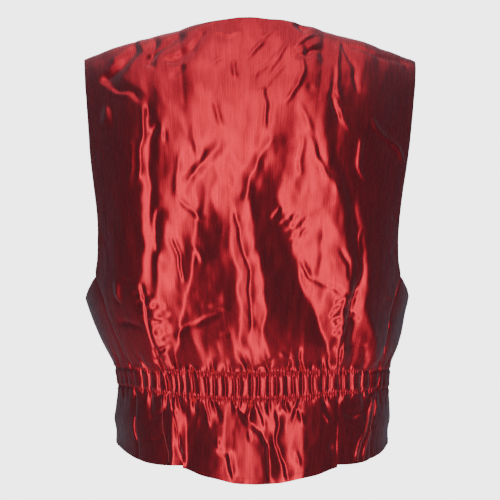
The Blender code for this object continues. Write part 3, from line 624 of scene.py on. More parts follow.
casing_arounds, *casing_columns = zip(*CASING)
casing_tops, casing_bottoms = (np.interp(PLAN_AROUND, casing_arounds, row) for row in casing_columns)
held = ease((CASING_END - np.abs(PLAN_AROUND)) / CASING_END_FADE)
above_casing = level_grid > (casing_tops + casing_bottoms) / 2
past = np.maximum(np.maximum(level_grid - casing_tops, casing_bottoms - level_grid), 0)
from_rows = [level_grid - levels for levels in (casing_tops, casing_bottoms)]
tight = sum(np.exp(-((away / STITCH_HALF) ** 2)) for away in from_rows)
feet = np.array(PINCHES) / MM
leans = chance.uniform(-LEAN_MOST, LEAN_MOST, (2, len(feet)))
tongues = chance.uniform(*TONGUE_SIZES, (2, len(feet)))
sizes = chance.uniform(*GATHER_SIZES, len(feet))
for number, foot in enumerate(feet[:-1]):
    first, last = (
        feet[edge] + np.where(above_casing, *leans[:, edge]) * past + FOOT_WANDER * wander_across
        for edge in (number, number + 1)
    )
    t = (around_grid - first) / (last - first)
    length = np.where(above_casing, TONGUE_UP * tongues[0, number], TONGUE_DOWN * tongues[1, number])
    fade = np.clip(1 - past / length, 0, 1)
    rise = ARCH_RISE * sizes[number] * (feet[number + 1] - foot)
    arch = np.where((t > 0) & (t < 1) & (last > first), 1 - np.abs(2 * t - 1) ** ARCH_POWER, 0)
    plan += rise * held * fade * (1 - ROW_HOLD * tight) * arch
for number in range(0, len(feet), 2):
    tilt = np.where(above_casing, *leans[:, number])
    long = np.where(above_casing, TONGUE_UP * tongues[1, number], TONGUE_DOWN * tongues[0, number])
    away = np.abs(around_grid - feet[number] - tilt * past + WEDGE_WANDER * wander_across)
    wedge = np.clip(1 - away / (WEDGE_HALF + WEDGE_SPREAD * past), 0, 1) ** WEDGE_POWER
    wedge *= np.clip(1 - past / (WEDGE_TONGUES * long), 0, 1) * ease(past / WEDGE_START)
    plan -= WEDGE_DEPTH * sizes[number] * held * wedge
wobble = softened(chance.normal(size=(1, PLAN_AROUND.size)), across=6, down=0.4)[0]
wobble *= PUCKER_WOBBLE / wobble.std()
pucker = np.sin(2 * math.pi * PLAN_AROUND / PUCKER_PITCH + wobble)
for away in from_rows:
    plan -= STITCH_DEPTH * held * np.exp(-((away / STITCH_HALF) ** 2))
    plan += PUCKER_HEIGHT * held * pucker * np.exp(-((away / PUCKER_REACH) ** 2))

# The darts: a sunk seam, with short puckers pulled out of it above the waist
Pucker = namedtuple("Pucker", "level reach drop rise")
PUCKERS = [
    Pucker(-0.318, -9, 2, 1.0),
    Pucker(-0.321, 8, 0, -1.6),
    Pucker(-0.327, -13, -4, -1.5),
    Pucker(-0.331, 9, 1, -1.6),
    Pucker(-0.335, -12, -3, 1.2),
    Pucker(-0.341, -15, -5, -1.6),
    Pucker(-0.344, 10, 3, 1.1),
    Pucker(-0.349, -13, -3, 1.2),
    Pucker(-0.352, 9, 2, -1.3),
    Pucker(-0.356, -14, -4, -1.7),
    Pucker(-0.363, -11, -2, 1.2),
    Pucker(-0.369, -13, -5, -1.5),
    Pucker(-0.378, -10, -3, 1.1),
    Pucker(-0.384, 8, 3, -1.3),
    Pucker(-0.390, -9, -6, -1.4),
]
DART_TOP = -0.306
DART_FADE = 0.012
DART_DEPTH = 0.0020
DART_HALF = 0.0030
GROOVE_POWER = 1.2
PUCKER_ROOT = 1.5
PUCKER_WIDTHS = (2.6, 2.2)
DartSide = namedtuple("DartSide", "side column flat_below")
DART_SIDES = [DartSide(1, "left", 0.6), DartSide(-1, "right", 0.9)]

for side, column, flat_below in DART_SIDES:
    line = curve(DARTS, column, PLAN_LEVEL)
    dart_around = side * around_of(angle_of(line, PLAN_LEVEL))
    away = np.abs(around_grid - dart_around[:, None])
    start = ease((DART_TOP - level_grid) / DART_FADE)
    flat = 1 - flat_below * ease((CASING_BOTTOM - level_grid) / DART_FADE)
    plan -= DART_DEPTH * start * flat * np.clip(1 - away / DART_HALF, 0, 1) ** GROOVE_POWER
    for pucker in PUCKERS:
        foot = MM * float(np.interp(pucker.level, PLAN_LEVEL, dart_around))
        level = MM * pucker.level
        root = (foot - PUCKER_ROOT * side * np.sign(pucker.reach), level)
        tip = (foot + side * pucker.reach, level - pucker.drop)
        press([root, tip], pucker.rise, *PUCKER_WIDTHS)

# The side seams lie a little sunk
SEAM_TOP = -0.302
SEAM_FADE = 0.006
SEAM_DEPTH = 0.0012
SEAM_HALF = 0.0030
for side in (1, -1):
    inside = np.clip(PLAN_LEVEL, BACK_EDGE[0].level, SEAM_TOP)
    seam = side * around_of(angle_of(curve(BACK_EDGE, "half_width", inside), inside))
    away = np.abs(around_grid - seam[:, None])
    below = ease((SEAM_TOP - level_grid) / SEAM_FADE)
    plan -= SEAM_DEPTH * below * np.clip(1 - away / SEAM_HALF, 0, 1)
plan = softened(plan, across=0.8, down=0.7)


def lift_at(around, level):
    """The plan's height at many places, between its cells."""
    column = np.clip((around - PLAN_AROUND[0]) / CELL_AROUND, 0, PLAN_AROUND.size - 1.001)
    row = np.clip((level - PLAN_LEVEL[0]) / CELL_DOWN, 0, PLAN_LEVEL.size - 1.001)
    i, j = row.astype(int), column.astype(int)
    return read_between(plan, i, j, row - i, column - j)


# The cloth is a closed thin wall: fine columns outside and plain ones inside
WALL = 0.0014
TINY = 1e-7
UV_NAME = "cloth"


def between(upper, lower):
    """Faces between two rows of (column, number). Where a row lacks a column, a triangle
    fills in."""
    faces = []
    first = max(upper[0][0], lower[0][0]) - TINY
    last = min(upper[-1][0], lower[-1][0]) - TINY
    i = next(order for order, (column, _) in enumerate(upper) if column >= first)
    j = next(order for order, (column, _) in enumerate(lower) if column >= first)
    while upper[i][0] < last or lower[j][0] < last:
        after_upper = upper[i + 1][0] if upper[i][0] < last else math.inf
        after_lower = lower[j + 1][0] if lower[j][0] < last else math.inf
        if abs(after_upper - after_lower) < TINY:
            faces.append((upper[i][1], lower[j][1], lower[j + 1][1], upper[i + 1][1]))
            i, j = i + 1, j + 1
        elif after_upper < after_lower:
            faces.append((upper[i][1], lower[j][1], upper[i + 1][1]))
            i += 1
        else:
            faces.append((upper[i][1], lower[j][1], lower[j + 1][1]))
            j += 1
    return faces


def rim_of(faces):
    """Following vertex of each vertex on the open edge of a sheet."""
    edges = {(a, b) for face in faces for a, b in zip(face, face[1:] + face[:1])}
    return {a: b for a, b in edges if (b, a) not in edges}


def added(name, data):
    """Puts a mesh, a light or a camera into the scene as an object."""
    thing = bpy.data.objects.new(name, data)
    bpy.context.collection.objects.link(thing)
    return thing


def sew(name, rows, place):
    """Makes a closed piece of cloth from rows of (down, columns, coarse columns or None).
    Place gives the outer points, their normals, and their distances around and down."""
    shares = np.concatenate([columns for _, columns, _ in rows])
    downs = np.concatenate([np.full(len(columns), down) for down, columns, _ in rows])
    outer, normal, around, along = place(shares, downs)
    starts = np.cumsum([0] + [len(columns) for _, columns, _ in rows])
    numbers = [range(start, start + len(columns)) for (_, columns, _), start in zip(rows, starts)]
    fine = [list(zip(columns, kept)) for (_, columns, _), kept in zip(rows, numbers)]
    outside = [face for upper, lower in zip(fine, fine[1:]) for face in between(upper, lower)]
    coarse = []
    for (_, columns, plain), start in zip(rows, starts):
        if plain is not None:
            nearest = [int(np.argmin(np.abs(columns - column))) for column in plain]
            coarse.append([(column, start + order) for column, order in zip(plain, nearest)])
    inside = [face for upper, lower in zip(coarse, coarse[1:]) for face in between(upper, lower)]
    used = sorted({number for row in coarse for _, number in row})
    backing = {number: len(shares) + order for order, number in enumerate(used)}
    points = np.concatenate((outer, outer[used] - normal[used] * WALL))
    across = np.concatenate((around, around[used]))
    length = np.concatenate((along, along[used]))
    faces = outside + [tuple(backing[number] for number in reversed(face)) for face in inside]
    following = rim_of(outside)
    for a, b in rim_of(inside).items():
        chain = [a]
        while chain[-1] != b:
            chain.append(following[chain[-1]])
        faces.append(tuple(reversed(chain)) + (backing[a], backing[b]))
    mesh = bpy.data.meshes.new(name)
    mesh.from_pydata(points.tolist(), [], faces)
    solid = bmesh.new()
    solid.from_mesh(mesh)
    bmesh.ops.recalc_face_normals(solid, faces=solid.faces)
    solid.to_mesh(mesh)
    solid.free()
    loops = np.empty(len(mesh.loops), dtype=int)
    mesh.loops.foreach_get("vertex_index", loops)
    layer = mesh.uv_layers.new(name=UV_NAME)
    flat = np.stack((across[loops], length[loops]), axis=-1)
    layer.data.foreach_set("uv", flat.astype(np.float32).ravel())
    mesh.shade_smooth()
    mesh.set_sharp_from_angle(angle=math.radians(70))
    return added(name, mesh)


def spread(first, last, count):
    """Evenly spaced columns, with both ends."""
    return first + (last - first) * np.arange(count + 1) / count


# Rows and columns of the mesh: closer together at the casing and the darts' puckers
BACK_COLUMNS = 128
SHAPED_ROWS = 76
ROW_STEP = 0.0024
PUCKERED_TOP = -0.300
PUCKERED_STEP = 0.0020
GATHERED_TOP = -0.400
GATHERED_BOTTOM = -0.465
GATHERED_STEP = 0.0016
HEM_STEP = 0.003
HEM_STEP_TOP = -0.450


def levels_down(start, end):
    """Levels of the rows of the cloth, closer together near the casing."""
    levels = [start]
    while levels[-1] > end:
        gathered = GATHERED_BOTTOM < levels[-1] < GATHERED_TOP
        puckered = GATHERED_TOP <= levels[-1] < PUCKERED_TOP
        levels.append(levels[-1] - (GATHERED_STEP if gathered else PUCKERED_STEP if puckered else ROW_STEP))
    levels = np.array(levels)
    return start + (levels - start) * (end - start) / (levels[-1] - start)


def columns_at(level):
    """How many outer columns there are for each inner one."""
    return 4 if GATHERED_BOTTOM - 0.001 < level < GATHERED_TOP + 0.002 else 2


def down_of(level):
    """The measure down of a row below the shaping."""
    return 1 + SHAPED_TO - level


SHAPED_LENGTH = 0.20


def length_down(down):
    """Length along the cloth from its top, downwards less than zero."""
    return -np.where(down < 1, SHAPED_LENGTH * down, down - (1 - SHAPED_LENGTH))


def back_place(share, down):
    """Outer points of the back with all their folds."""
    base = back_form(share, down)
    normal = outward(back_form, share, down)
    around = around_of(back_angle(share, np.minimum(base[:, 2], SHAPED_TO)))
    outer = base + normal * lift_at(around, base[:, 2])[:, None]
    return outer, normal, around, length_down(down)


back_rows = []
downs = np.concatenate((spread(0, 1, SHAPED_ROWS)[:-1], down_of(levels_down(SHAPED_TO, HEM_AT))))
steps_at = [side * DART_SHARE + step for side in (-1, 1) for step in (-HEM_STEP, HEM_STEP)]
for order, down in enumerate(downs):
    level = SHAPED_TO - (down - 1)
    columns = spread(-1, 1, BACK_COLUMNS * columns_at(level))
    plain = spread(-1, 1, BACK_COLUMNS)
    if level < HEM_STEP_TOP:
        columns, plain = (
            np.sort(np.append(row[np.abs(np.abs(row) - DART_SHARE) > TINY], steps_at))
            for row in (columns, plain)
        )
    back_rows.append((down, columns, plain if order % 2 == 0 or order == len(downs) - 1 else None))
back = sew("back_cloth", back_rows, back_place)

# Shot taffeta: coral weft over a plum warp, so it glows where it faces the light and is
# dark plum where it turns away. The weave shows as fine streaks down the cloth.
def fill(node, inputs):
    """Fills a node's inputs, each with a value or with a wire from another node's output."""
    for name, given in inputs.items():
        if isinstance(given, bpy.types.NodeSocket):
            node.id_data.links.new(given, node.inputs[name])
        else:
            node.inputs[name].default_value = given
    return node


def placed(tree, kind, inputs):
    """A new node in a tree, with its inputs filled."""
    return fill(tree.nodes.new(kind), inputs)


def node_group(name, kind, takes, gives):
    """A node group with named inputs and outputs, and the two nodes that stand for them."""
    group = bpy.data.node_groups.new(name, kind)
    for way, sockets in (("INPUT", takes), ("OUTPUT", gives)):
        for socket, holds in sockets.items():
            group.interface.new_socket(socket, in_out=way, socket_type="NodeSocket" + holds)
    return group, group.nodes.new("NodeGroupInput"), group.nodes.new("NodeGroupOutput")


def finish_of(name, inputs):
    """A new material, and its shader with these values on it."""
    material = bpy.data.materials.new(name)
    material.use_nodes = True
    return material, fill(material.node_tree.nodes["Principled BSDF"], inputs)


def shades(tree, by, low, high, span=(0.0, 1.0)):
    """Colours between two, by a mask."""
    ramp = placed(tree, "ShaderNodeValToRGB", {"Fac": by})
    for stop, place, colour in zip(ramp.color_ramp.elements, span, (low, high)):
        stop.position = place
        stop.color = colour
    return ramp.outputs["Color"]


def bumps(tree, by, strength, distance):
    """The surface's small bumps, by a mask."""
    bump = placed(tree, "ShaderNodeBump", {"Strength": strength, "Distance": distance, "Height": by})
    return bump.outputs["Normal"]


weave, thread_sizes, woven = node_group(
    "shot_weave", "ShaderNodeTree",
    {"Threads": "Float", "Slubs": "Float"}, {"Streak": "Float", "Height": "Float"},
)
cloth_map = weave.nodes.new("ShaderNodeUVMap")
cloth_map.uv_map = UV_NAME


def streaks(stretch, scale_from, detail):
    """Noise on the cloth's own map, stretched along one thread direction."""
    mapping = placed(weave, "ShaderNodeMapping", {"Vector": cloth_map.outputs["UV"], "Scale": stretch})
    rough = weave.nodes.new("ShaderNodeTexNoise")
    rough.noise_dimensions = "2D"
    fill(rough, {
        "Vector": mapping.outputs["Vector"],
        "Scale": thread_sizes.outputs[scale_from],
        "Detail": detail,
        "Roughness": 0.6,
    })
    return rough.outputs["Fac"]


def mixed(first, second, share):
    """A mask between two others."""
    return placed(weave, "ShaderNodeMix", {"Factor": share, "A": first, "B": second}).outputs["Result"]


warp = streaks((1.0, 0.030, 1.0), "Threads", 3.0)
weft = streaks((0.05, 1.0, 1.0), "Threads", 2.0)
slub = streaks((1.0, 0.12, 1.0), "Slubs", 2.0)
fill(woven, {"Height": mixed(warp, weft, 0.3), "Streak": mixed(warp, slub, 0.45)})

taffeta, shader = finish_of("shot_taffeta", {
    "Metallic": 0.9,
    "Specular Tint": (0.70, 0.30, 0.36, 1.0),
    "Coat Weight": 0.25,
    "Coat Roughness": 0.6,
    "Coat Tint": (0.90, 0.92, 1.0, 1.0),
    "Sheen Weight": 0.38,
    "Sheen Roughness": 0.6,
    "Sheen Tint": (0.55, 0.60, 0.72, 1.0),
})
tree = taffeta.node_tree
cloth = tree.nodes.new("ShaderNodeGroup")
cloth.node_tree = weave
fill(cloth, {"Threads": 900.0, "Slubs": 160.0})
streak = cloth.outputs["Streak"]
gloss = placed(tree, "ShaderNodeMapRange", {"Value": streak, "To Min": 0.22, "To Max": 0.34})
fill(shader, {
    "Base Color": shades(tree, streak, (0.62, 0.008, 0.026, 1.0), (0.90, 0.016, 0.045, 1.0), (0.34, 0.66)),
    "Roughness": gloss.outputs["Result"],
    "Normal": bumps(tree, cloth.outputs["Height"], 0.18, 0.0003),
})

back.data.materials.append(taffeta)
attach(back, "root")
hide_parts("back")


# The fronts: each one cloth, from centre front round under the arm to the side seam.
# They are cut to a V at the neck, and the left one laps over the right and is buttoned.
OVERLAP_HALF = 0.012
NECK_POINT_LEVEL = -0.235
UNDERLAP_GAP = 0.0005
UNDERLAP_FADE = 0.024
ARMHOLE_CORNER = -0.312
SIDE_COLUMN_ANGLE = math.radians(110)
UNDERARM_DIP = 0.0185
FRONT_HEM = [
    Hem(0.00, -0.5150),
    Hem(0.50, -0.5120),
    Hem(1.00, -0.5090),
    Hem(1.50, -0.5080),
    Hem(1.75, -0.5130),
    Hem(2.00, -0.5215),
]
FRONT_EDGE = [
    Edge(-0.300, 0.1835),
    Edge(-0.285, 0.1775),
    Edge(-0.270, 0.1725),
    Edge(-0.250, 0.1682),
    Edge(-0.220, 0.1655),
    Edge(-0.160, 0.1665),
    Edge(-0.120, 0.1710),
    Edge(-0.080, 0.1810),
    Edge(-0.0344, 0.2050),
]
# Rows lean under the arm: how much higher they end at the side seam, and how they dip
Lean = namedtuple("Lean", "lead raised dip")
LEANS = [
    Lean(-0.312, 0.010, 1.0),
    Lean(-0.330, 0.010, 0.5),
    Lean(-0.346, 0.006, 0.2),
    Lean(-0.361, 0.001, 0.0),
    Lean(-0.380, 0.000, 0.0),
]


def front_angle(share, level):
    """The angle of a column of a front: share is 0 at its front edge, 1 under the
    armhole's front corner and 2 at the side seam."""
    slant = NECK_HALF - (OVERLAP_HALF + NECK_HALF) * level / NECK_POINT_LEVEL
    first = angle_of(np.where(level < NECK_POINT_LEVEL, -OVERLAP_HALF, slant), level, front=True)
    second = angle_of(curve(FRONT_EDGE, "half_width", level), level, front=True)
    merge = ease((FRONT_EDGE[0].level - level) / (FRONT_EDGE[0].level - ARMHOLE_CORNER))
    second = second + (SIDE_COLUMN_ANGLE - second) * merge
    third = angle_of(curve(BACK_EDGE, "half_width", level), level)
    before_arm = first + (second - first) * share
    return np.where(share <= 1, before_arm, second + (third - second) * (share - 1))


def front_form(share, down, side):
    """A front without folds, with the same measure down as the back has."""
    top_x = NECK_HALF + (SHOULDER_HALF - NECK_HALF) * np.minimum(share, 1.05)
    turn = np.clip(down, 0, 1) * math.pi / 2
    shaped_to = SHAPED_TO + 0 * share
    flat = on_ring(side * front_angle(np.minimum(share, 1.05), shaped_to), shaped_to)
    shaped = over_shoulder(top_x, side, flat, down, 1)
    edge = float(curve(FRONT_EDGE, "half_width", SHAPED_TO))
    straight = SHOULDER_HALF + (edge - SHOULDER_HALF) * (1 - np.cos(turn))
    hollow = np.minimum(curve(FRONT_EDGE, "half_width", shaped[..., 2]) - straight, 0)
    shaped[..., 0] += side * hollow * np.clip(share, 0, 1) ** 3
    level = np.minimum(SHAPED_TO - (down - 1), SHAPED_TO)
    leads = [-row.lead for row in LEANS]
    raised = np.interp(-level, leads, [row.raised for row in LEANS])
    dip = UNDERARM_DIP * np.interp(-level, leads, [row.dip for row in LEANS])
    lean = np.clip(share - 1, 0, 1)
    leaning = level <= ARMHOLE_CORNER + TINY
    height = level + np.where(leaning, raised * lean**2 - dip * np.sin(math.pi * lean), 0)
    plain = on_ring(side * front_angle(share, height), height)
    plain[..., 2] = hung(level, curve(FRONT_HEM, "level", share), plain[..., 2])
    return np.where((down <= 1)[..., None], shaped, plain)


def front_place(share, down, side):
    """Outer points of a front with all their folds."""
    def form(share, down):
        return front_form(share, down, side)

    base = form(share, down)
    normal = outward(form, share, down)
    around = side * around_of(front_angle(share, np.minimum(base[:, 2], SHAPED_TO)))
    lift = lift_at(around, base[:, 2])
    if side < 0:
        under = ease((OVERLAP_HALF + UNDERLAP_FADE + base[:, 0]) / UNDERLAP_FADE)
        lift -= (WALL + UNDERLAP_GAP) * under
    outer = base + normal * lift[:, None]
    return outer, normal, around, length_down(down)


FRONT_COLUMNS = 40
SIDE_COLUMNS = 26
above_corner = np.arange(SHAPED_TO, ARMHOLE_CORNER + 0.001, -ROW_STEP)
below_corner = levels_down(ARMHOLE_CORNER, HEM_AT)
front_downs = np.concatenate((spread(0, 1, SHAPED_ROWS)[:-1], down_of(above_corner)))
front_rows = []
for order, down in enumerate(front_downs):
    plain = spread(0, 1, FRONT_COLUMNS)
    front_rows.append((down, spread(0, 1, 2 * FRONT_COLUMNS), plain if order % 2 == 0 else None))
for order, level in enumerate(below_corner):
    front_half = spread(0, 1, 2 * FRONT_COLUMNS)[:-1]
    columns = np.concatenate((front_half, spread(1, 2, columns_at(level) * SIDE_COLUMNS)))
    plain = np.concatenate((spread(0, 1, FRONT_COLUMNS)[:-1], spread(1, 2, SIDE_COLUMNS)))
    kept = order % 2 == 0 or order == len(below_corner) - 1
    front_rows.append((down_of(level), columns, plain if kept else None))
places = {1: partial(front_place, side=1), -1: partial(front_place, side=-1)}
for side, name in ((1, "front_left"), (-1, "front_right")):
    front = sew(name + "_cloth", front_rows, places[side])
    front.data.materials.append(taffeta)
    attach(front, "root")
    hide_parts(name)


# The buttons: five small resin discs with a raised rim and four holes. Each is sewn with
# a cross of thread through the left front, which is worked with a buttonhole beside it.
BUTTON_LEVELS = [-0.252, -0.297, -0.342, -0.387, -0.432]
BUTTON_OUTLINE = [
    (0.0000, 0.0000), (0.0064, 0.0000), (0.0071, 0.0004), (0.0075, 0.0011), (0.0075, 0.0017),
    (0.0072, 0.0023), (0.0067, 0.0026), (0.0061, 0.0026), (0.0056, 0.0024), (0.0052, 0.0019),
    (0.0047, 0.0017), (0.0000, 0.0017),
]
BUTTON_GAP = 0.0003
HOLE_RADIUS = 0.0009
HOLE_AWAY = 0.0016


def revolved(outline, sides):
    """A closed mesh turned from an outline of (radius, height) round the Z axis."""
    solid = bmesh.new()
    rings = []
    for radius, height in outline:
        if radius == 0:
            rings.append([solid.verts.new((0, 0, height))])
            continue
        turns = [2 * math.pi * step / sides for step in range(sides)]
        spots = [(radius * math.cos(turn), radius * math.sin(turn), height) for turn in turns]
        rings.append([solid.verts.new(spot) for spot in spots])
    for lower, upper in zip(rings, rings[1:]):
        for i in range(sides):
            j = (i + 1) % sides
            corners = [lower[i % len(lower)], lower[j % len(lower)]]
            corners += [upper[j % len(upper)], upper[i % len(upper)]]
            solid.faces.new(list(dict.fromkeys(corners)))
    bmesh.ops.recalc_face_normals(solid, faces=solid.faces)
    mesh = bpy.data.meshes.new("turned")
    solid.to_mesh(mesh)
    solid.free()
    return mesh


def made_plain(piece):
    """Turns an object's modifiers into a plain mesh and drops them."""
    graph = bpy.context.evaluated_depsgraph_get()
    mesh = bpy.data.meshes.new_from_object(piece.evaluated_get(graph), depsgraph=graph)
    piece.modifiers.clear()
    piece.data = mesh
    return mesh


plate = added("plate", revolved(BUTTON_OUTLINE, 48))
for number in range(4):
    turn = math.pi / 4 + number * math.pi / 2
    drill = revolved([(0, -0.001), (HOLE_RADIUS, -0.001), (HOLE_RADIUS, 0.004), (0, 0.004)], 16)
    drill.transform(Matrix.Translation((HOLE_AWAY * math.cos(turn), HOLE_AWAY * math.sin(turn), 0)))
    tool = added("drill", drill)
    cut = plate.modifiers.new("hole", "BOOLEAN")
    cut.operation = "DIFFERENCE"
    cut.solver = "EXACT"
    cut.object = tool
    made_plain(plate)
    bpy.data.objects.remove(tool)
drilled = plate.data
bpy.data.objects.remove(plate)

resin, shader = finish_of("dark_resin", {"Roughness": 0.32, "Coat Weight": 0.3})
tree = resin.node_tree
place = tree.nodes.new("ShaderNodeTexCoord").outputs["Object"]
cloudy = placed(tree, "ShaderNodeTexNoise", {"Vector": place, "Scale": 380.0, "Detail": 4.0})
clouds = cloudy.outputs["Fac"]
fill(shader, {
    "Base Color": shades(tree, clouds, (0.030, 0.006, 0.009, 1.0), (0.105, 0.022, 0.026, 1.0)),
    "Normal": bumps(tree, clouds, 0.15, 0.0001),
})

# Sewing thread: two plies of polyester in dark red, and a lighter red for topstitching, whose lightness is a
# painted glint along the skirt's seam edges
threads = {}
for name, low, high in (
    ("dark_thread", (0.075, 0.006, 0.012, 1.0), (0.21, 0.018, 0.028, 1.0)),
    # The topstitching thread's light red is a painted glint along the seam edges
    ("bright_thread", (0.50, 0.055, 0.070, 1.0), (0.90, 0.16, 0.17, 1.0)),
):
    threads[name], shader = finish_of(name, {"Roughness": 0.5, "Sheen Weight": 0.3})
    tree = threads[name].node_tree
    place = tree.nodes.new("ShaderNodeTexCoord").outputs["Object"]
    plies = placed(tree, "ShaderNodeTexWave", {"Vector": place, "Scale": 900.0, "Distortion": 1.5})
    fill(shader, {
        "Base Color": shades(tree, plies.outputs["Fac"], low, high),
        "Normal": bumps(tree, plies.outputs["Fac"], 0.4, 0.0001),
    })

# One stitch, a little bowed, is repeated along each seam by Geometry Nodes
STITCH_OUTLINE = [(0, -0.5), (0.6, -0.42), (1.0, -0.2), (1.0, 0.2), (0.6, 0.42), (0, 0.5)]
stitch_mesh = revolved(STITCH_OUTLINE, 6)
stitch_mesh.transform(Matrix.Rotation(math.pi / 2, 4, "Y"))
for corner in stitch_mesh.vertices:
    corner.co.z -= 2.4 * corner.co.x**2
stitch_mesh.shade_smooth()
stitch = added("one_stitch", stitch_mesh)

seam, given, made = node_group(
    "seam_of_stitches", "GeometryNodeTree",
    {
        "Geometry": "Geometry", "Stitch": "Object", "Pitch": "Float", "Length": "Float",
        "Thickness": "Float", "Unevenness": "Float", "Thread": "Material",
    },
    {"Geometry": "Geometry"},
)
to_curve = placed(seam, "GeometryNodeMeshToCurve", {"Mesh": given.outputs["Geometry"]})
spaced = seam.nodes.new("GeometryNodeResampleCurve")
spaced.mode = "LENGTH"
fill(spaced, {"Curve": to_curve.outputs["Curve"], "Length": given.outputs["Pitch"]})
facing = seam.nodes.new("GeometryNodeInputNamedAttribute")
facing.data_type = "FLOAT_VECTOR"
fill(facing, {"Name": "facing"})
along = seam.nodes.new("FunctionNodeAlignRotationToVector")
along.axis = "X"
fill(along, {"Vector": seam.nodes.new("GeometryNodeInputTangent").outputs["Tangent"]})
upright = seam.nodes.new("FunctionNodeAlignRotationToVector")
upright.axis = "Z"
upright.pivot_axis = "X"
fill(upright, {"Rotation": along.outputs["Rotation"], "Vector": facing.outputs["Attribute"]})
least = seam.nodes.new("ShaderNodeMath")
least.operation = "SUBTRACT"
fill(least, {0: 1.0, 1: given.outputs["Unevenness"]})
uneven = seam.nodes.new("FunctionNodeRandomValue")
uneven.data_type = "FLOAT"
fill(uneven, {2: least.outputs["Value"], 3: 1.0, "Seed": 5})
long = seam.nodes.new("ShaderNodeMath")
long.operation = "MULTIPLY"
fill(long, {0: given.outputs["Length"], 1: uneven.outputs[1]})
thick = given.outputs["Thickness"]
size = placed(seam, "ShaderNodeCombineXYZ", {"X": long.outputs["Value"], "Y": thick, "Z": thick})
model = placed(seam, "GeometryNodeObjectInfo", {"Object": given.outputs["Stitch"]})
repeat = placed(seam, "GeometryNodeInstanceOnPoints", {
    "Points": spaced.outputs["Curve"],
    "Instance": model.outputs["Geometry"],
    "Rotation": upright.outputs["Rotation"],
    "Scale": size.outputs["Vector"],
})
real = placed(seam, "GeometryNodeRealizeInstances", {"Geometry": repeat.outputs["Instances"]})
coloured = placed(seam, "GeometryNodeSetMaterial", {
    "Geometry": real.outputs["Geometry"],
    "Material": given.outputs["Thread"],
})
fill(made, {"Geometry": coloured.outputs["Geometry"]})

takes = [item for item in seam.interface.items_tree if item.in_out == "INPUT"]
SEAM_SOCKETS = {item.name: item.identifier for item in takes}
THREAD_LIFT = 0.00022
Stitching = namedtuple("Stitching", "pitch length thickness unevenness")


def stitched(name, lines, thread, kind):
    """Sews stitches along lines, each a pair of points and the ways that they face."""
    points, normals, edges = [], [], []
    for line, ways in lines:
        first = len(points)
        points.extend((line + ways * THREAD_LIFT).tolist())
        normals.extend(ways.tolist())
        edges.extend((first + step, first + step + 1) for step in range(len(line) - 1))
    mesh = bpy.data.meshes.new(name)
    mesh.from_pydata(points, edges, [])
    facing = mesh.attributes.new("facing", "FLOAT_VECTOR", "POINT")
    facing.data.foreach_set("vector", np.array(normals, dtype=np.float32).ravel())
    piece = added(name, mesh)
    sewing = piece.modifiers.new("seam", "NODES")
    sewing.node_group = seam
    sewing[SEAM_SOCKETS["Stitch"]] = stitch
    sewing[SEAM_SOCKETS["Thread"]] = threads[thread]
    for socket, value in zip(("Pitch", "Length", "Thickness", "Unevenness"), kind):
        sewing[SEAM_SOCKETS[socket]] = value
    made_plain(piece)
    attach(piece, "root")


def line_on(place, shares, downs):
    """Points and facings of a line on a piece of cloth."""
    points, ways, _, _ = place(np.asarray(shares, dtype=float), np.asarray(downs, dtype=float))
    return points, ways


def down_at(angle, shares, levels_of):
    """Measures down at which a row round the cloth lies, from its level at each distance."""
    level = np.full(len(shares), -0.43)
    for _ in range(6):
        level = levels_of(around_of(angle(shares, level)))
    return 1 + SHAPED_TO - level


# Lockstitches: the casing's two rows, the hem, the armholes, the neck and the front edges.
# A known fault: past the side seams the distance goes through around_of twice, so there the
# casing's two stitch rows lie below their grooves, by 5 and 12 mm on the left front and by
# 1 and 7 mm on the right.
HEM_ROW = -0.5405
NECK_ROW = 0.05
BACK_ARMHOLE = 0.965
FRONT_ARMHOLE = 0.955
FRONT_EDGE_ROW = 0.045
casing_lines = []
for levels in (casing_tops, casing_bottoms):
    row_level = partial(np.interp, xp=PLAN_AROUND, fp=levels)
    shares = np.linspace(-0.995, 0.995, 600)
    casing_lines.append(line_on(back_place, shares, down_at(back_angle, shares, row_level)))
    for side, place in places.items():
        shares = np.linspace(1.995, 0.95, 240)
        downs = down_at(lambda share, level: side * around_of(front_angle(share, level)), shares, row_level)
        around = around_of(front_angle(shares, 1 + SHAPED_TO - downs))
        kept = around < CASING_END
        casing_lines.append(line_on(place, shares[kept], downs[kept]))
hem_down = down_of(HEM_ROW)
hem_lines = [line_on(back_place, np.linspace(-0.99, 0.99, 400), np.full(400, hem_down))]
edge_lines = []
below_shaping = down_of(-0.161)
armhole_foot, front_foot = down_of(-0.298), down_of(-0.540)
armhole_sewn = np.concatenate((np.linspace(0.03, 1, 60), np.linspace(below_shaping, armhole_foot, 60)))
front_sewn = np.concatenate((np.linspace(0.05, 1, 60), np.linspace(below_shaping, front_foot, 160)))
for side, place in places.items():
    hem_lines.append(line_on(place, np.linspace(0.02, 1.985, 320), np.full(320, hem_down)))
    edge_lines.append(line_on(back_place, np.full(120, BACK_ARMHOLE * side), armhole_sewn))
    edge_lines.append(line_on(place, np.full(120, FRONT_ARMHOLE), armhole_sewn))
    edge_lines.append(line_on(place, np.full(220, FRONT_EDGE_ROW), front_sewn))
edge_lines.append(line_on(back_place, np.linspace(-0.36, 0.36, 160), np.full(160, NECK_ROW)))
LOCKSTITCH = Stitching(0.0034, 0.0026, 0.00022, 0.3)
stitched("casing_stitches", casing_lines, "dark_thread", Stitching(0.0036, 0.0025, 0.00024, 0.4))
stitched("hem_stitches", hem_lines, "dark_thread", LOCKSTITCH)
stitched("edge_stitches", edge_lines, "dark_thread", LOCKSTITCH)
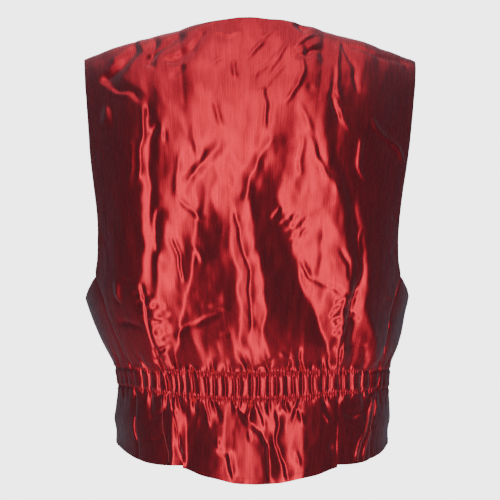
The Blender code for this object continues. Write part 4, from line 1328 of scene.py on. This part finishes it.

# Topstitching on the skirt in the lighter thread, its colour a painted glint: two rows beside the right side
# seam, one by the left dart
Topstitch = namedtuple("Topstitch", "top bottom")
TOPSTITCHES = [
    Topstitch((-0.167, -0.449), (-0.145, -0.522)),
    Topstitch((-0.172, -0.456), (-0.155, -0.524)),
    Topstitch((0.131, -0.449), (0.121, -0.521)),
]
guide = np.linspace(-1, 1, 2001)
bright_lines = []
for row in TOPSTITCHES:
    shares, downs = [], []
    for step in np.linspace(0, 1, 60):
        around, level = (top + (bottom - top) * step for top, bottom in zip(row.top, row.bottom))
        share = float(np.interp(around, around_of(back_angle(guide, np.full_like(guide, level))), guide))
        hem = float(back_form(np.array([share]), np.array([down_of(HEM_AT)]))[0, 2])
        reached = (level - HEM_FROM) / (hem - HEM_FROM)
        shares.append(share)
        downs.append(down_of(HEM_FROM + reached * (HEM_AT - HEM_FROM) if level < HEM_FROM else level))
    bright_lines.append(line_on(back_place, shares, downs))
stitched("top_stitches", bright_lines, "bright_thread", Stitching(0.0021, 0.0021, 0.00030, 0.15))

# The thread crosses in each button, and its buttonhole's worked edge, which runs from
# behind the button out towards the middle of the front
STRAND_APART = 0.00025
CROSS_REACH = 1.1 * HOLE_AWAY
CROSS_FLAT = 0.7 * CROSS_REACH
CROSS = [(-CROSS_REACH, 0.0015), (-CROSS_FLAT, 0.0020), (CROSS_FLAT, 0.0020), (CROSS_REACH, 0.0015)]
HOLE_MIDDLE = 0.0065
HOLE_REACH = 0.0085
HOLE_OPEN = 0.0007
button_crosses, buttonholes = [], []
guide = np.linspace(0, 0.3, 300)
for number, level in enumerate(BUTTON_LEVELS, 1):
    guide_x = front_form(guide, np.full_like(guide, down_of(level)), 1)[:, 0]
    seat, way = line_on(places[1], [np.interp(0, guide_x, guide)], [down_of(level)])
    way = Vector(way[0]).normalized()
    across = Vector((1, 0, 0)) - way * way.x
    across.normalize()
    frame_of = Matrix((across, way.cross(across), way)).transposed().to_4x4()
    frame_of.translation = Vector(seat[0]) + way * BUTTON_GAP
    mesh = drilled.copy()
    mesh.transform(frame_of)
    mesh.shade_smooth()
    mesh.set_sharp_from_angle(angle=math.radians(40))
    mesh.materials.clear()
    mesh.materials.append(resin)
    button = added(f"sewn_button_{number}", mesh)
    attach(button, "root")
    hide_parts(f"button_{number}")
    for turn in (math.pi / 4, 3 * math.pi / 4):
        spin = frame_of @ Matrix.Rotation(turn, 4, "Z")
        for strand in (-STRAND_APART, STRAND_APART):
            points = np.array([spin @ Vector((x, strand, height)) for x, height in CROSS])
            button_crosses.append((points, np.tile(np.array(way), (len(CROSS), 1))))
    turns = np.linspace(0, 2 * math.pi, 60)
    shares = np.interp(HOLE_MIDDLE + HOLE_REACH * np.cos(turns), guide_x, guide)
    buttonholes.append(line_on(places[1], shares, down_of(level + HOLE_OPEN * np.sin(turns))))
stitched("button_thread", button_crosses, "dark_thread", Stitching(0.0007, 0.0012, 0.00022, 0.1))
stitched("buttonhole_stitches", buttonholes, "dark_thread", Stitching(0.0006, 0.0016, 0.00022, 0.1))
bpy.data.objects.remove(stitch)


# The room: a plain pale floor far below, soft light all round, and the camera behind.
FLOOR_HALF = 6.5
FLOOR_LEVEL = -1.4
floor_mesh = bpy.data.meshes.new("floor")
quarters = [(-1, -1), (1, -1), (1, 1), (-1, 1)]
corners = [(FLOOR_HALF * x, FLOOR_HALF * y, FLOOR_LEVEL) for x, y in quarters]
floor_mesh.from_pydata(corners, [], [(0, 1, 2, 3)])
floor = added("floor", floor_mesh)


def two_looks(tree, end, mirrored, seen):
    """Ends a tree in one look for the light that falls on it and one for the camera."""
    ray = tree.nodes.new("ShaderNodeLightPath")
    either = placed(tree, "ShaderNodeMixShader", {"Fac": ray.outputs["Is Camera Ray"], 1: mirrored, 2: seen})
    fill(tree.nodes[end], {"Surface": either.outputs["Shader"]})


pale, seen_floor = finish_of("pale_floor", {
    "Base Color": (0.85, 0.85, 0.85, 1.0),
    "Roughness": 0.9,
    "Emission Color": (1.0, 1.0, 1.0, 1.0),
    "Emission Strength": 3.0,
})
tree = pale.node_tree
lit_floor = placed(tree, "ShaderNodeBsdfDiffuse", {"Color": (0.45, 0.45, 0.46, 1.0)})
two_looks(tree, "Material Output", lit_floor.outputs["BSDF"], seen_floor.outputs["BSDF"])
floor_mesh.materials.append(pale)

world = bpy.data.worlds.new("studio")
bpy.context.scene.world = world
world.use_nodes = True
tree = world.node_tree
surround = fill(tree.nodes["Background"], {"Color": (0.80, 0.85, 1.0, 1.0), "Strength": 0.045})
white = placed(tree, "ShaderNodeBackground", {"Strength": 5.0})
two_looks(tree, "World Output", surround.outputs["Background"], white.outputs["Background"])

# Soft boxes one above another, as one tall strip behind the vest and one before it
SoftBox = namedtuple("SoftBox", "raised away width height brightness")
SOFT_BOXES = [
    SoftBox(-50, 1.30, 0.62, 0.62, 1.5),
    SoftBox(-27, 1.90, 0.95, 0.90, 1.7),
    SoftBox(0, 2.80, 1.50, 1.40, 1.9),
    SoftBox(28, 2.60, 1.50, 1.35, 1.4),
    SoftBox(56, 2.60, 2.20, 1.40, 0.70),
]
# Each is five panels side by side, the brightest in its middle, as shares of its width
Panel = namedtuple("Panel", "offset width glow")
PANELS = [
    Panel(-0.48, 0.18, 0.40),
    Panel(-0.26, 0.26, 0.90),
    Panel(0.00, 0.26, 1.65),
    Panel(0.26, 0.26, 0.90),
    Panel(0.48, 0.18, 0.40),
]
AIM = Vector((0.0, 0.0, -0.27))
for facing, turned, strength in ((1, 2, 1.0), (-1, 0, 0.65)):
    for number, box in enumerate(SOFT_BOXES):
        turn, raised = math.radians(turned), math.radians(box.raised)
        towards = Vector((math.sin(turn), facing * math.cos(turn), 0)) * math.cos(raised)
        towards.z = math.sin(raised)
        aside = Vector((0, 0, 1)).cross(towards).normalized()
        for panel in PANELS:
            light = bpy.data.lights.new(f"soft_box_{number}", "AREA")
            light.shape = "RECTANGLE"
            light.size, light.size_y = panel.width * box.width, box.height
            area = light.size * light.size_y
            light.energy = strength * panel.glow * box.brightness * math.pi * area
            holder = added(light.name, light)
            holder.location = AIM + towards * box.away + aside * panel.offset * box.width
            holder.rotation_euler = towards.to_track_quat("Z", "Y").to_euler()
OVERHEAD_HEIGHT = 3.0
overhead = bpy.data.lights.new("overhead", "AREA")
overhead.size = 4.2
overhead.energy = 36
added("overhead", overhead).location.z = OVERHEAD_HEIGHT

CAMERA_DISTANCE = 2.6
CAMERA_TURN = math.radians(2)
FRAME_WIDTH = 0.62
lens = bpy.data.cameras.new("camera")
lens.lens = lens.sensor_width * CAMERA_DISTANCE / FRAME_WIDTH
camera = added("camera", lens)
behind = Vector((math.sin(CAMERA_TURN), math.cos(CAMERA_TURN), 0))
camera.location = AIM + CAMERA_DISTANCE * behind
camera.rotation_euler = (math.radians(90), 0, math.pi - CAMERA_TURN)
bpy.context.scene.camera = camera
